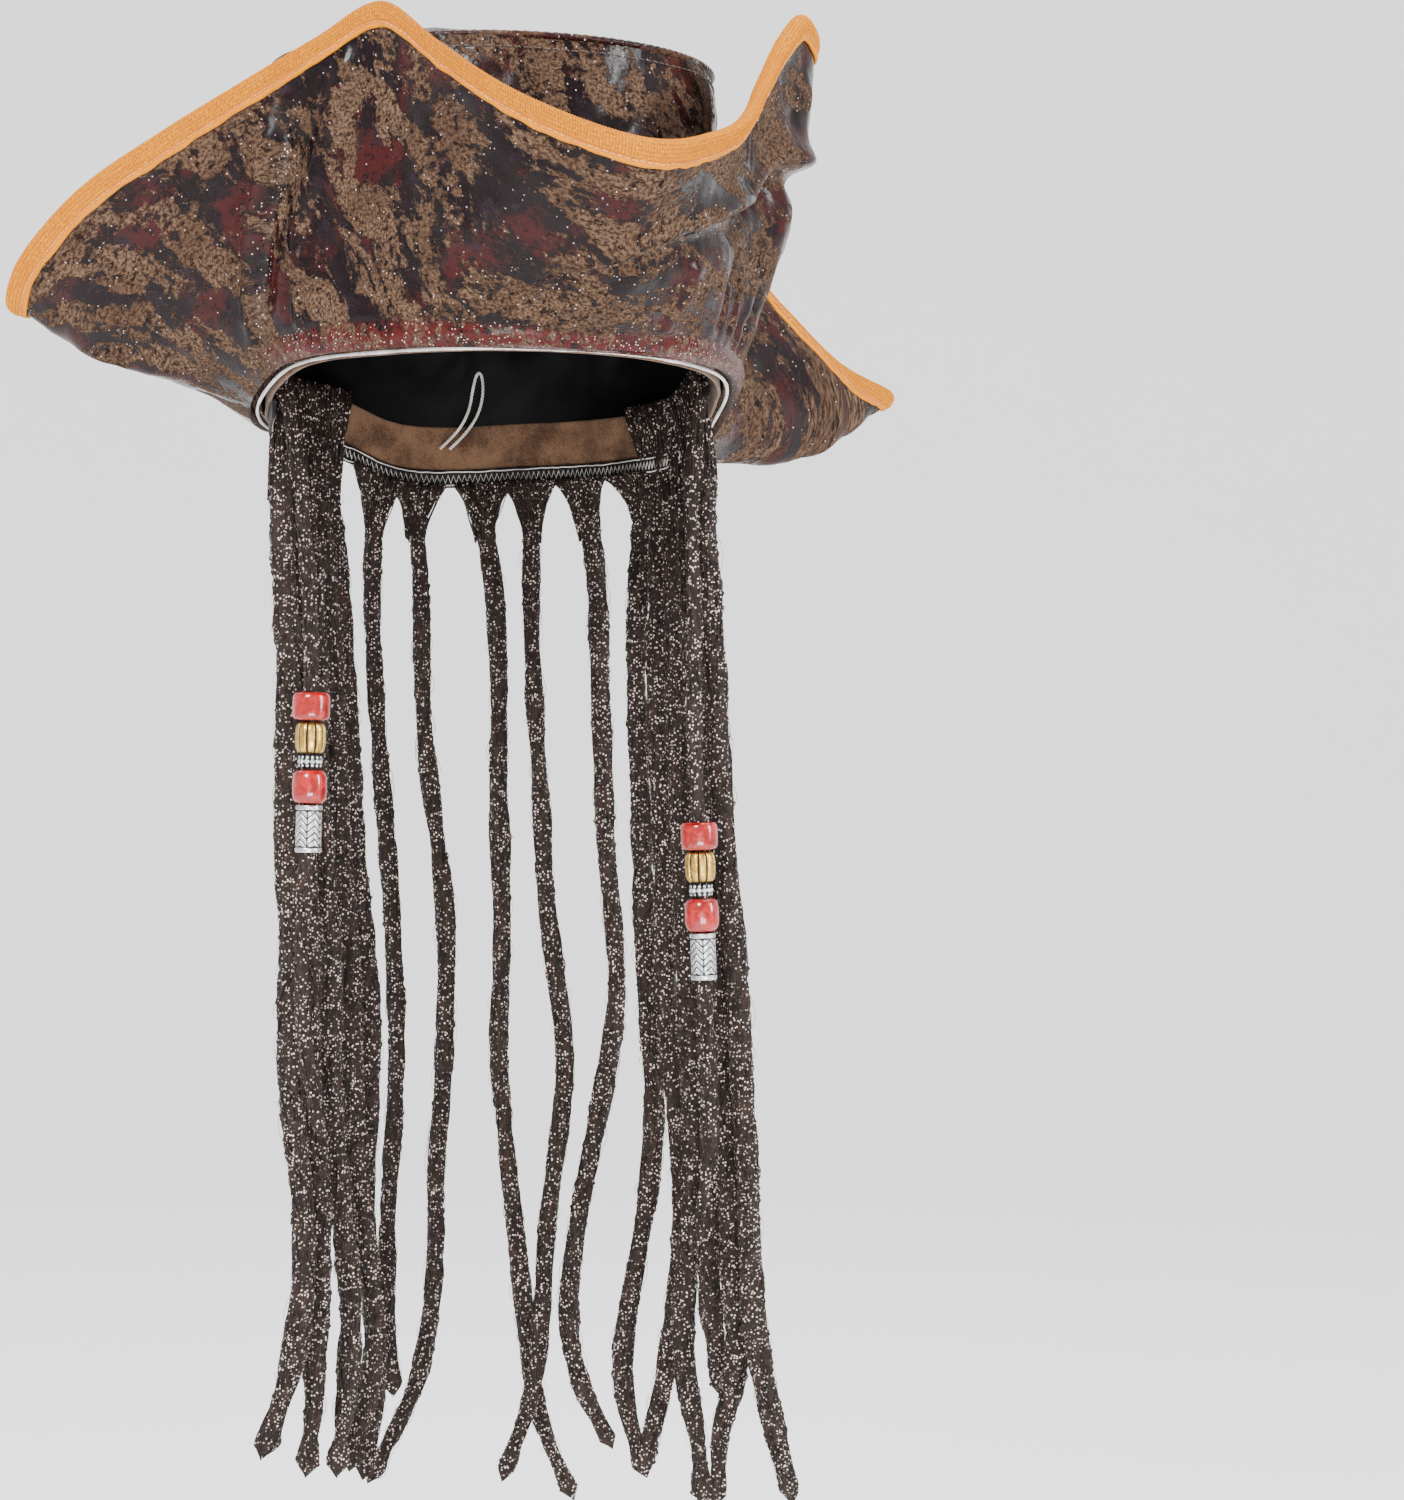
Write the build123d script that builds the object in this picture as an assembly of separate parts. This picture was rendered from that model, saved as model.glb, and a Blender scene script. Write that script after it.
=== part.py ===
from build123d import *
import math
import os

# A pirate hat: a soft three-cornered hat with locks of hair sewn into its opening.
# Millimetres. The origin is the centre of the head opening, +Z is up, the front point of the brim
# lies towards -Y, and the locks hang along -Z. Angles around the head run from the front point
# towards the wearer's right side (-X), in degrees.

# Head opening and crown
opening_half_width = 86.0
opening_half_length = 98.0
crown_top_half_width = 81.0
crown_top_half_length = 91.0
crown_top_height = 124.0
crown_top_rise_back = 4.0
crown_bulge = 3.0
crown_cloth = 1.2
lining_cloth = 0.6
sweatband_height = 18.0
sweatband_layer = (-3.5, -2.3)

# Brim layers, as distances from the middle of the brim, the crown's side negative
brim_base_gap = 2.6
brim_upper_layer = (-1.8, -0.9)
brim_stiffener_layer = (-0.6, 0.6)
brim_under_layer = (0.9, 1.8)
binding_width = 7.0
binding_cloth = 1.1
binding_gap = 1.3
wire_radius = 0.4
wire_from_edge = 1.8
stiffener_from_edge = 3.6

# Trim at the opening
piping_radius = 1.2
piping_inset = 0.4
piping_drop = 3.4
weft_layer = (-5.0, -3.8)
weft_foot = -8.0
weft_height = 7.0
tuft_layer = (-11.5, -5.4)
tuft_foot = -10.0
tuft_height = 21.0
root_gap = 0.4

# Hair
tip_length = 14.0
tip_end_radius = 0.7

# Beads, from the top of a string to its foot: height and outer radius
bead_gap = 0.6
bead_bore_radius = 3.1
barrel_height, barrel_radius = 10.5, 7.0
melon_height, melon_radius = 11.5, 5.75
ring_height, ring_radius = 5.0, 4.7
round_height, round_radius = 12.5, 6.5
tube_height, tube_radius = 17.5, 5.0

# Height of the opening's edge around the head: angle, height
rim_stations = [
    (0, 11), (40, 11), (70, 10), (95, 2), (125, -4), (155, -5), (175, -14),
    (205, -13), (235, -12), (262, -9), (282, 2), (305, 8), (330, 10),
]

# Edge of the brim around the head: angle, distance from the axis, height,
# slope of the brim at its base and at its edge (degrees above level)
brim_stations = [
    (0, 166, 70, 22, 58), (12, 150, 84, 34, 66), (25, 122, 108, 58, 70), (38, 105, 127, 74, 76),
    (52, 105, 117, 74, 70), (66, 117, 102, 66, 60), (78, 132, 88, 52, 52), (90, 154, 70, 36, 46),
    (99, 172, 49, 26, 34), (105, 177, 37, 22, 24), (112, 172, 43, 24, 34), (124, 156, 60, 34, 50),
    (140, 138, 74, 48, 62), (160, 124, 92, 60, 74), (180, 119, 98, 64, 78), (200, 124, 92, 60, 74),
    (220, 138, 74, 46, 62), (236, 160, 56, 30, 50), (247, 186, 28, 14, 40), (254, 192, 20, 8, 36),
    (261, 166, 36, 18, 60), (269, 130, 68, 44, 84), (278, 104, 98, 70, 92), (287, 106, 120, 76, 92),
    (296, 117, 132, 74, 90), (302, 121, 134, 72, 84), (308, 120, 137, 78, 78), (319, 118, 118, 70, 70),
    (333, 128, 92, 52, 66), (347, 146, 78, 34, 62),
]

# Angles between the cross-sections that the shells are lofted through
section_step = 5.0


def between(stations, angle, column):
    """A smooth closed curve through one column of a table of stations."""
    count = len(stations)
    angle = angle % 360
    here = max(i for i in range(count) if stations[i][0] <= angle)

    def knot(i):
        turn, place = divmod(i, count)
        return stations[place][0] + 360 * turn, stations[place][column]

    (a0, v0), (a1, v1), (a2, v2), (a3, v3) = (knot(here + k) for k in (-1, 0, 1, 2))
    span = a2 - a1
    slope1 = (v2 - v0) / (a2 - a0) * span
    slope2 = (v3 - v1) / (a3 - a1) * span
    t = (angle - a1) / span
    return (
        (2 * t**3 - 3 * t**2 + 1) * v1 + (t**3 - 2 * t**2 + t) * slope1
        + (3 * t**2 - 2 * t**3) * v2 + (t**3 - t**2) * slope2
    )


def ellipse_radius(angle, half_width, half_length):
    turn = math.radians(angle)
    return 1 / math.hypot(math.sin(turn) / half_width, math.cos(turn) / half_length)


def rim_radius(angle):
    return ellipse_radius(angle, opening_half_width, opening_half_length)


def rim_height(angle):
    return between(rim_stations, angle, 1)


def crown_top(angle):
    """Radius and height of the crown's top edge."""
    radius = ellipse_radius(angle, crown_top_half_width, crown_top_half_length)
    return radius, crown_top_height - crown_top_rise_back * math.cos(math.radians(angle))


def at(angle, radius, height):
    turn = math.radians(angle)
    return Vector(-radius * math.sin(turn), -radius * math.cos(turn), height)


def brim_point(angle, t):
    """A point of the brim's middle surface and its outward normal, in the plane at an angle."""
    base = (rim_radius(angle) + brim_base_gap, rim_height(angle))
    edge = (between(brim_stations, angle, 1), between(brim_stations, angle, 2))
    reach = math.dist(base, edge) / 3
    start = math.radians(between(brim_stations, angle, 3))
    end = math.radians(between(brim_stations, angle, 4))
    p1 = (base[0] + reach * math.cos(start), base[1] + reach * math.sin(start))
    p2 = (edge[0] - reach * math.cos(end), edge[1] - reach * math.sin(end))
    s = 1 - t
    place = [
        s**3 * base[i] + 3 * s * s * t * p1[i] + 3 * s * t * t * p2[i] + t**3 * edge[i]
        for i in (0, 1)
    ]
    along = [
        s * s * (p1[i] - base[i]) + 2 * s * t * (p2[i] - p1[i]) + t * t * (edge[i] - p2[i])
        for i in (0, 1)
    ]
    size = math.hypot(*along)
    return place, (along[1] / size, -along[0] / size), reach * 3


def brim_spot(angle, from_edge, offset):
    """A point a given distance in from the brim's edge, and off its middle surface."""
    length = brim_point(angle, 1)[2]
    place, normal, _ = brim_point(angle, 1 - max(from_edge, 0) / length)
    beyond = max(-from_edge, 0)
    radius = place[0] + normal[0] * offset - normal[1] * beyond
    return at(angle, radius, place[1] + normal[1] * offset + normal[0] * beyond)


def part_of_the_way_round(section, start, end):
    count = math.ceil((end - start) / section_step)
    return Solid.make_loft([section(start + (end - start) * i / count) for i in range(count + 1)])


def around_the_head(section):
    """A closed ring: the loft ends on the wire that it began with."""
    wires = [section(section_step * i) for i in range(round(360 / section_step))]
    return Solid.make_loft(wires + wires[:1])


def strip(outer, inner):
    """A thin cross-section between two lines of points."""
    return Wire([
        Edge.make_spline(outer),
        Edge.make_line(outer[-1], inner[-1]),
        Edge.make_spline(inner[::-1]),
        Edge.make_line(inner[0], outer[0]),
    ])


def round_section(angle, centre, radius, sides=8):
    """A small many-sided ring section in the plane at an angle."""
    outward = at(angle, 1, 0)
    corners = []
    for i in range(sides):
        turn = 2 * math.pi * (i + 0.5) / sides
        corners.append(
            centre + outward * radius * math.cos(turn) + Vector(0, 0, radius * math.sin(turn))
        )
    return Wire.make_polygon(corners, close=True)


def brim_layer(layer, from_edge=0.0, points=7):
    def section(angle):
        length = brim_point(angle, 1)[2]
        sides = []
        for offset in (layer[1], layer[0]):
            side = []
            for i in range(points):
                place, normal, _ = brim_point(angle, (1 - from_edge / length) * i / (points - 1))
                side.append(at(angle, place[0] + normal[0] * offset, place[1] + normal[1] * offset))
            sides.append(side)
        return strip(*sides)

    return around_the_head(section)


def edge_binding():
    """The knitted tape folded over the brim's edge."""
    near = brim_under_layer[1] + binding_gap
    far = near + binding_cloth
    cap_near, cap_far = -binding_gap, -binding_gap - binding_cloth

    def section(angle):
        corners = [
            (binding_width, far), (cap_far, far), (cap_far, -far), (binding_width, -far),
            (binding_width, -near), (cap_near, -near), (cap_near, near), (binding_width, near),
        ]
        spots = [brim_spot(angle, from_edge, offset) for from_edge, offset in corners]
        return Wire.make_polygon(spots, close=True)

    return around_the_head(section)


def brim_wire():
    def section(angle):
        return round_section(angle, brim_spot(angle, wire_from_edge, 0), wire_radius)

    return around_the_head(section)


def crown_wall(inner, outer, foot, height=None, head=0.0, points=5, start=0, end=360):
    """A wall between two offsets from the crown's outer face, from foot above the opening's edge."""
    def section(angle):
        rim = rim_height(angle)
        top_radius, top_height = crown_top(angle)
        low = rim + foot
        high = top_height + head if height is None else low + height
        sides = []
        for offset in (outer, inner):
            side = []
            for i in range(points):
                z = low + (high - low) * i / (points - 1)
                t = (z - rim) / (top_height - rim)
                radius = rim_radius(angle) * (1 - t) + top_radius * t + crown_bulge * 4 * t**2 * (1 - t)
                side.append(at(angle, radius + offset, z))
            sides.append(side)
        return strip(*sides)

    if end - start == 360:
        return around_the_head(section)
    return part_of_the_way_round(section, start, end)


def crown_plate(inset, low, thickness, dome):
    """The crown's flat top: a disc whose edge is inset from the crown's and whose middle rises."""
    tilt = math.degrees(math.atan2(crown_top_rise_back, crown_top_half_length))
    plane = Plane.XY.offset(crown_top_height + low).rotated((tilt, 0, 0))
    width, length = crown_top_half_width - inset, crown_top_half_length - inset

    def disc(height, shrink):
        return plane.offset(height) * Ellipse(width - shrink, length - shrink)

    rounding = thickness * 1.5
    plate = loft([disc(0, 0), disc(thickness, rounding * 0.2)])
    return plate + loft([disc(thickness, rounding * 0.2), disc(thickness + dome, rounding * 2)])


def piping():
    def section(angle):
        centre = at(angle, rim_radius(angle) - piping_inset, rim_height(angle) - piping_drop)
        return round_section(angle, centre, piping_radius)

    return around_the_head(section)


def route_path(route):
    """Straight runs joined by arcs as large as the runs allow, with the arcs' radii."""
    points = [Vector(*p) for p in route]
    radii = []
    for a, b, c in zip(points, points[1:], points[2:]):
        turn = math.radians((b - a).get_angle(c - b))
        radii.append(0.45 * min((b - a).length, (c - b).length) / math.tan(turn / 2))
    return FilletPolyline(*points, radius=radii), radii


def tube_along(name, route, radius):
    path, radii = route_path(route)
    tube = sweep(Plane(path @ 0, z_dir=path % 0) * Circle(radius), path)
    expected = math.pi * radius**2 * path.length
    print(f"{name}: {path.length:.0f} long, volume/expected {tube.volume / expected:.4f}, "
          f"radii {[round(r) for r in radii]}")
    return tube, path


def lock(name, route, diameter):
    """One lock of hair: a round head to hang from, a tube and a pointed tip."""
    radius = diameter / 2
    tube, path = tube_along(name, route, radius)
    head = Pos(*route[0]) * Sphere(radius)
    tip_plane = Plane(path @ 1, z_dir=path % 1)
    tip = loft([
        tip_plane * Circle(radius), tip_plane.offset(tip_length) * Circle(tip_end_radius),
    ])
    return tube + head + tip


def root_cone(route, diameter, width=10.0, thickness=3.2):
    """The flat tuft of hair that joins a rear lock to the weft."""
    x, y, z = route[0]
    radius = diameter / 2
    foot = z + radius + root_gap
    angle = math.degrees(math.atan2(-x, -y))
    top = rim_height(angle) + weft_foot - 2.8
    face = Plane(origin=(x, y, foot), x_dir=(-math.cos(math.radians(angle)),
                                             math.sin(math.radians(angle)), 0), z_dir=(0, 0, 1))
    return loft([
        face * Ellipse(radius, radius * 0.8),
        face.offset((top - foot) * 0.45) * Ellipse(width * 0.55, thickness),
        face.offset(top - foot) * Ellipse(width, thickness),
    ])


def bead(height, radius, bulge):
    """A round bead: a turned body about the bore, from a barrel (small bulge) to a ball."""
    half = height / 2
    end_radius = radius - bulge
    outline = Wire([
        Edge.make_line((bead_bore_radius, 0, -half), (end_radius, 0, -half)),
        Edge.make_three_point_arc((end_radius, 0, -half), (radius, 0, 0), (end_radius, 0, half)),
        Edge.make_line((end_radius, 0, half), (bead_bore_radius, 0, half)),
        Edge.make_line((bead_bore_radius, 0, half), (bead_bore_radius, 0, -half)),
    ])
    return revolve(Face(outline), Axis.Z)


def melon_bead():
    """A bead with grooves from end to end."""
    body = bead(melon_height, melon_radius, 1.6)
    grooves = 10
    for i in range(grooves):
        turn = Rot(0, 0, 360 / grooves * i)
        body -= turn * Pos(melon_radius + 0.35, 0, 0) * Cylinder(0.8, melon_height + 1)
    return body


def granulated_ring():
    """A spacer of small balls set round a ring."""
    ring = Cylinder(ring_radius - 0.7, ring_height * 0.6) - Cylinder(bead_bore_radius, ring_height)
    balls = 12
    for i in range(balls):
        ring += Rot(0, 0, 360 / balls * i) * Pos(ring_radius - 0.6, 0, 0) * Sphere(1.15)
    return ring - Cylinder(bead_bore_radius, ring_height)


def engraved_tube():
    """A straight tube with a raised rim at each end."""
    tube = Cylinder(tube_radius - 0.4, tube_height)
    for side in (-1, 1):
        tube += Pos(0, 0, side * (tube_height / 2 - 0.8)) * Cylinder(tube_radius, 1.6)
    return tube - Cylinder(bead_bore_radius, tube_height + 1)


def bead_string(side, top, direction):
    """Five beads, one under another, along the straight stretch of a lock."""
    makers = [
        ("red_barrel_bead", barrel_height, lambda: bead(barrel_height, barrel_radius, 1.2)),
        ("gold_melon_bead", melon_height, melon_bead),
        ("silver_spacer_ring", ring_height, granulated_ring),
        ("red_round_bead", round_height, lambda: bead(round_height, round_radius, 2.6)),
        ("silver_tube_bead", tube_height, engraved_tube),
    ]
    direction = Vector(*direction).normalized()
    reach = 0.0
    for name, height, maker in makers:
        centre = Vector(*top) + direction * (reach + height / 2)
        write(f"{side}_{name}", Plane(centre, z_dir=direction * -1).location * maker())
        print(f"{side}_{name}: centre {tuple(round(v, 2) for v in centre)}")
        reach += height + bead_gap


def write(name, shape):
    shape.label = name
    export_step(shape, f"parts/{name}.step")


rear_locks = {
    "rear_lock_a": (6.4, [
        (-21, 92, -34), (-22, 93, -64), (-20, 94, -100), (-18, 93, -136), (-15, 92, -172),
        (-13, 92, -206), (-11, 93, -240), (-12, 94, -276), (-15, 93, -308), (-16, 92, -340),
        (-14, 92, -372),
    ]),
    "rear_lock_b": (6.6, [
        (-4, 95, -35), (0, 96, -56), (0, 97, -92), (1, 95, -128), (6, 94, -164), (10, 95, -196),
        (10, 96, -229), (9, 97, -265), (6, 98, -297), (7, 99, -327), (5, 100, -356),
        (1, 101, -379), (-6, 102, -396), (-14, 102, -410),
    ]),
    "rear_lock_c": (6.8, [
        (24, 90, -35), (29, 91, -61), (31, 91, -100), (30, 90, -140), (31, 89, -176),
        (32, 90, -213), (30, 91, -247), (33, 92, -278), (37, 92, -314), (41, 91, -351),
        (44, 90, -383), (50, 90, -406), (57, 91, -421),
    ]),
    "rear_lock_d": (6.6, [
        (42, 83, -35), (42, 84, -63), (43, 84, -104), (46, 83, -144), (47, 82, -180),
        (51, 82, -213), (57, 82, -253), (53, 83, -288), (48, 82, -320), (46, 81, -350),
        (44, 80, -375), (39, 80, -394), (34, 81, -408),
    ]),
    "rear_lock_e": (7.0, [
        (62, 70, -35), (66, 71, -60), (67, 71, -96), (68, 70, -132), (69, 70, -168),
        (73, 71, -200), (75, 71, -229), (69, 72, -265), (61, 72, -301), (55, 71, -332),
        (53, 70, -360), (58, 70, -382), (66, 71, -397),
    ]),
}

right_locks = {
    "right_lock_1": (7.6, [
        (78, 50, -28), (77, 51, -54), (75, 52, -88), (77, 52, -128), (78, 51, -168),
        (79, 51, -207), (82, 52, -243), (84, 52, -275), (80, 51, -309), (73, 50, -342),
        (69, 51, -368), (71, 52, -388), (76, 52, -404),
    ]),
    "right_lock_2": (8.0, [
        (80, 39, -24), (82, 40, -55), (80, 40, -92), (81, 39, -132), (83, 39, -171),
        (83, 40, -211), (86, 40, -251), (90, 39, -290), (90, 38, -326), (87, 39, -355),
        (83, 40, -379), (77, 39, -399),
    ]),
    "right_lock_3": (8.2, [
        (82, 28, -23), (83, 28, -55), (84, 29, -93), (84, 27, -136), (87, 27, -179),
        (89, 28, -218), (90, 28, -257), (92, 27, -293), (89, 28, -326), (86, 28, -353),
        (88, 27, -379), (92, 27, -395), (94, 28, -411),
    ]),
    "right_lock_4": (8.4, [
        (83, 17, -24), (84, 16, -55), (88, 16, -93), (89, 17, -136), (91, 17, -175),
        (93, 16, -214), (93, 15, -252), (96, 16, -292), (93, 17, -323), (94, 16, -348),
        (97, 16, -367),
    ]),
    "right_lock_5": (8.4, [
        (83, 5, -23), (85, 5, -55), (88, 6, -97), (88, 7, -139), (91, 6, -182), (95, 5, -221),
        (96, 5, -259), (98, 6, -294), (98, 6, -325), (101, 5, -352), (99, 5, -374),
        (94, 6, -390), (93, 6, -406),
    ]),
    "right_lock_6": (8.6, [
        (83, -6, -20), (83, -6, -55), (87, -6, -94), (89, -5, -132), (92, -5, -174),
        (96, -6, -212), (98, -6, -254), (101, -5, -292), (102, -5, -325), (103, -6, -351),
        (108, -6, -374), (112, -6, -391), (116, -5, -405),
    ]),
}
right_bead_lock = (5.2, [
    (72, -20, -20), (72, -21, -50), (74, -20, -84), (73, -20, -118), (75, -20, -152),
    (77.5, -20, -220), (80, -20, -254), (79, -21, -282), (75, -21, -304),
])

left_locks = {
    "left_lock_1": (8.6, [
        (-73, 31, -26), (-73, 30, -58), (-70, 30, -92), (-71, 31, -132), (-71, 32, -169),
        (-69, 31, -199), (-71, 30, -233), (-69, 31, -263), (-65, 31, -293), (-64, 30, -323),
        (-67, 30, -349), (-71, 31, -366), (-76, 31, -380),
    ]),
    "left_lock_2": (8.4, [
        (-66, 43, -24), (-64, 42, -57), (-62, 42, -94), (-63, 43, -132), (-61, 43, -170),
        (-59, 42, -208), (-60, 42, -242), (-58, 43, -272), (-55, 43, -302), (-55, 42, -331),
        (-58, 42, -356), (-57, 43, -374), (-59, 43, -390),
    ]),
    "left_lock_3": (8.2, [
        (-59, 55, -23), (-56, 54, -57), (-53, 54, -94), (-54, 55, -132), (-51, 55, -170),
        (-48, 54, -209), (-49, 54, -247), (-46, 55, -282), (-43, 55, -313), (-40, 54, -340),
        (-41, 54, -367), (-44, 55, -394),
    ]),
    "left_lock_4": (8.4, [
        (-51, 66, -23), (-47, 66, -57), (-44, 67, -94), (-43, 67, -132), (-41, 66, -171),
        (-37, 66, -210), (-37, 67, -249), (-35, 67, -284), (-32, 66, -315), (-27, 66, -345),
        (-28, 67, -372), (-34, 67, -395),
    ]),
    "left_lock_5": (8.0, [
        (-43, 79, -24), (-39, 79, -56), (-37, 79, -90), (-34, 78, -128), (-33, 78, -167),
        (-28, 79, -203), (-25, 79, -238), (-27, 79, -274), (-29, 78, -305), (-27, 78, -337),
        (-23, 79, -363), (-24, 79, -384), (-27, 78, -401),
    ]),
}
left_bead_lock = (5.2, [
    (-70, 14, -22), (-69, 13, -45), (-66, 14, -70), (-65.5, 14, -104), (-67, 14, -172),
    (-70, 14, -206), (-68, 15, -234), (-65, 15, -256),
])

# Where the top bead of each string starts, and the way the lock runs through the beads
left_string_top, left_string_direction = (-65.55, 14, -106.5), (-1.5, 0, -68)
right_string_top, right_string_direction = (75.1, -20, -155.0), (2.5, 0, -68)

hang_loop_radius = 0.5
hang_loop = [
    (6, 91, -7), (9, 89, -4), (14, 87, 2), (17, 86, 9), (18, 85, 17), (19.5, 85, 23), (21.5, 85, 23.5),
    (22.5, 85, 17), (21.5, 86, 9), (18, 87, 2), (13, 89, -4), (10, 91, -7),
]

os.makedirs("parts", exist_ok=True)

write("brim_under_cloth", brim_layer(brim_under_layer))
write("brim_stiffener", brim_layer(brim_stiffener_layer, stiffener_from_edge))
write("brim_upper_cloth", brim_layer(brim_upper_layer))
write("brim_wire", brim_wire())
write("edge_binding", edge_binding())

write("crown_side_band", crown_wall(-crown_cloth, 0, 0.5))
lining_outside = -crown_cloth - 0.3
write("crown_lining", crown_wall(lining_outside - lining_cloth, lining_outside, 0.5, head=-3.0))
write("crown_top_panel", crown_plate(0.4, 0.3, crown_cloth, 1.6))
write("crown_top_lining", crown_plate(2.4, -1.6, lining_cloth, 0.9))
write("sweatband", crown_wall(*sweatband_layer, -1.5, sweatband_height))
write("opening_piping", piping())
write("hair_weft_band", crown_wall(*weft_layer, weft_foot, weft_height, start=95, end=275))
write("left_root_tuft", crown_wall(*tuft_layer, tuft_foot, tuft_height, start=100, end=157))
write("right_root_tuft", crown_wall(*tuft_layer, tuft_foot, tuft_height, start=232, end=276))
write("rear_root_tufts", Compound(children=[
    root_cone(route, diameter) for diameter, route in rear_locks.values()
]))
write("hang_loop", tube_along("hang_loop", hang_loop, hang_loop_radius)[0])

for group in (rear_locks, right_locks, left_locks):
    for name, (diameter, route) in group.items():
        write(name, lock(name, route, diameter))
write("right_bead_lock", lock("right_bead_lock", right_bead_lock[1], right_bead_lock[0]))
write("left_bead_lock", lock("left_bead_lock", left_bead_lock[1], left_bead_lock[0]))
bead_string("left", left_string_top, left_string_direction)
bead_string("right", right_string_top, right_string_direction)
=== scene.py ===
import math

import bpy
import numpy as np
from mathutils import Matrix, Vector


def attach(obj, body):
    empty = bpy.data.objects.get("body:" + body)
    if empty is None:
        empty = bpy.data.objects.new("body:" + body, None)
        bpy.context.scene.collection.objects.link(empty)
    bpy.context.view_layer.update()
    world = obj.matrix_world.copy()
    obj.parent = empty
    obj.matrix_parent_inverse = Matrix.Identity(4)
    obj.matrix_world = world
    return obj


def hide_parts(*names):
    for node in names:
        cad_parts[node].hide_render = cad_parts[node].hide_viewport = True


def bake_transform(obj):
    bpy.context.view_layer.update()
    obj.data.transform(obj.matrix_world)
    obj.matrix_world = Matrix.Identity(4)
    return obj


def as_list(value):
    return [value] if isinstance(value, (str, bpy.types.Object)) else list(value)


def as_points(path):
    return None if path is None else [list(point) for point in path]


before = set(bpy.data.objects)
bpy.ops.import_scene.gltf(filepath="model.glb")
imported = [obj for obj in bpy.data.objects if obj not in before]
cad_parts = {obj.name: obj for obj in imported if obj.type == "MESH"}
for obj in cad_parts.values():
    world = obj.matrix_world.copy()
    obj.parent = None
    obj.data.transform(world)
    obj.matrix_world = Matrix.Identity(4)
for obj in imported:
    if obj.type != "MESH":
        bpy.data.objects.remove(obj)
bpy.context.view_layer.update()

# Angles run around the head from the front point towards the wearer's right side, in degrees.
# Lengths are in millimetres until a mesh is made, which is in metres.
MM = 0.001

# ---------------------------------------------------------------- camera
camera_data = bpy.data.cameras.new("camera")
camera_data.lens = 76.32
camera_data.sensor_width = 36
camera = bpy.data.objects.new("camera", camera_data)
camera.location = (-0.34851, -1.13992, -0.12792)
camera.rotation_euler = (math.radians(90), 0, math.radians(-20.778))
bpy.context.scene.collection.objects.link(camera)
bpy.context.scene.camera = camera


# ---------------------------------------------------------------- mesh helpers
def unit(v):
    return v / np.maximum(np.linalg.norm(v, axis=-1, keepdims=True), 1e-12)


def smooth(x, low, high):
    """0 below low, 1 above high, and a smooth rise between."""
    t = np.clip((np.asarray(x, float) - low) / (high - low), 0, 1)
    return t * t * (3 - 2 * t)


def waves(points, length, seed, count=16):
    """Smooth random waves of about one length, mostly between -1 and 1, at each point."""
    dice = np.random.default_rng(seed)
    total = np.zeros(points.shape[:-1])
    for _ in range(count):
        way = unit(dice.normal(size=3)) * 2 * np.pi / (length * dice.uniform(0.7, 1.5))
        total += np.sin(points @ way + dice.uniform(0, 2 * np.pi))
    return total / math.sqrt(count) * 0.9


def grid(rows, columns, wrap_rows=False, wrap_columns=False):
    """The quads of a grid of points, row by row."""
    r = np.arange(rows if wrap_rows else rows - 1)[:, None]
    c = np.arange(columns if wrap_columns else columns - 1)[None, :]
    below, beside = (r + 1) % rows, (c + 1) % columns
    return np.stack(
        [r * columns + c, r * columns + beside, below * columns + beside, below * columns + c], -1
    ).reshape(-1, 4)


def facing_out(points, quads):
    """The quads of a closed mesh, turned so that they face outwards."""
    a, b, c, d = (points[quads[:, i]] for i in range(4))
    volume = np.einsum("ij,ij->", a, np.cross(b, c)) + np.einsum("ij,ij->", a, np.cross(c, d))
    return quads if volume > 0 else quads[:, ::-1]


def piece(name, points, quads, material, slot, body="root", uv=None, values=None):
    """A closed mesh piece from points in millimetres, riding on a body."""
    points = points.reshape(-1, 3)
    turned = facing_out(points, quads)
    mesh = bpy.data.meshes.new(name)
    mesh.from_pydata((points * MM).tolist(), [], turned.tolist())
    if uv is not None:
        corners = uv if uv.shape[:2] == (len(quads), 4) else uv.reshape(-1, 2)[quads]
        if turned is not quads:
            corners = corners[:, ::-1]
        layer = mesh.uv_layers.new(name="UVMap")
        layer.data.foreach_set("uv", np.ascontiguousarray(corners, np.float32).ravel())
    for key, value in (values or {}).items():
        attribute = mesh.attributes.new(key, "FLOAT", "POINT")
        attribute.data.foreach_set("value", np.ascontiguousarray(value, np.float32).ravel())
    mesh.shade_smooth()
    mesh.materials.append(material)
    thing = bpy.data.objects.new(name, mesh)
    bpy.context.scene.collection.objects.link(thing)
    if body:
        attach(thing, body)
    return thing


def joined(parts):
    """Several (points, quads) as one."""
    points, quads, count = [], [], 0
    for p, q in parts:
        p = p.reshape(-1, 3)
        points.append(p)
        quads.append(q + count)
        count += len(p)
    return np.concatenate(points), np.concatenate(quads)


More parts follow.
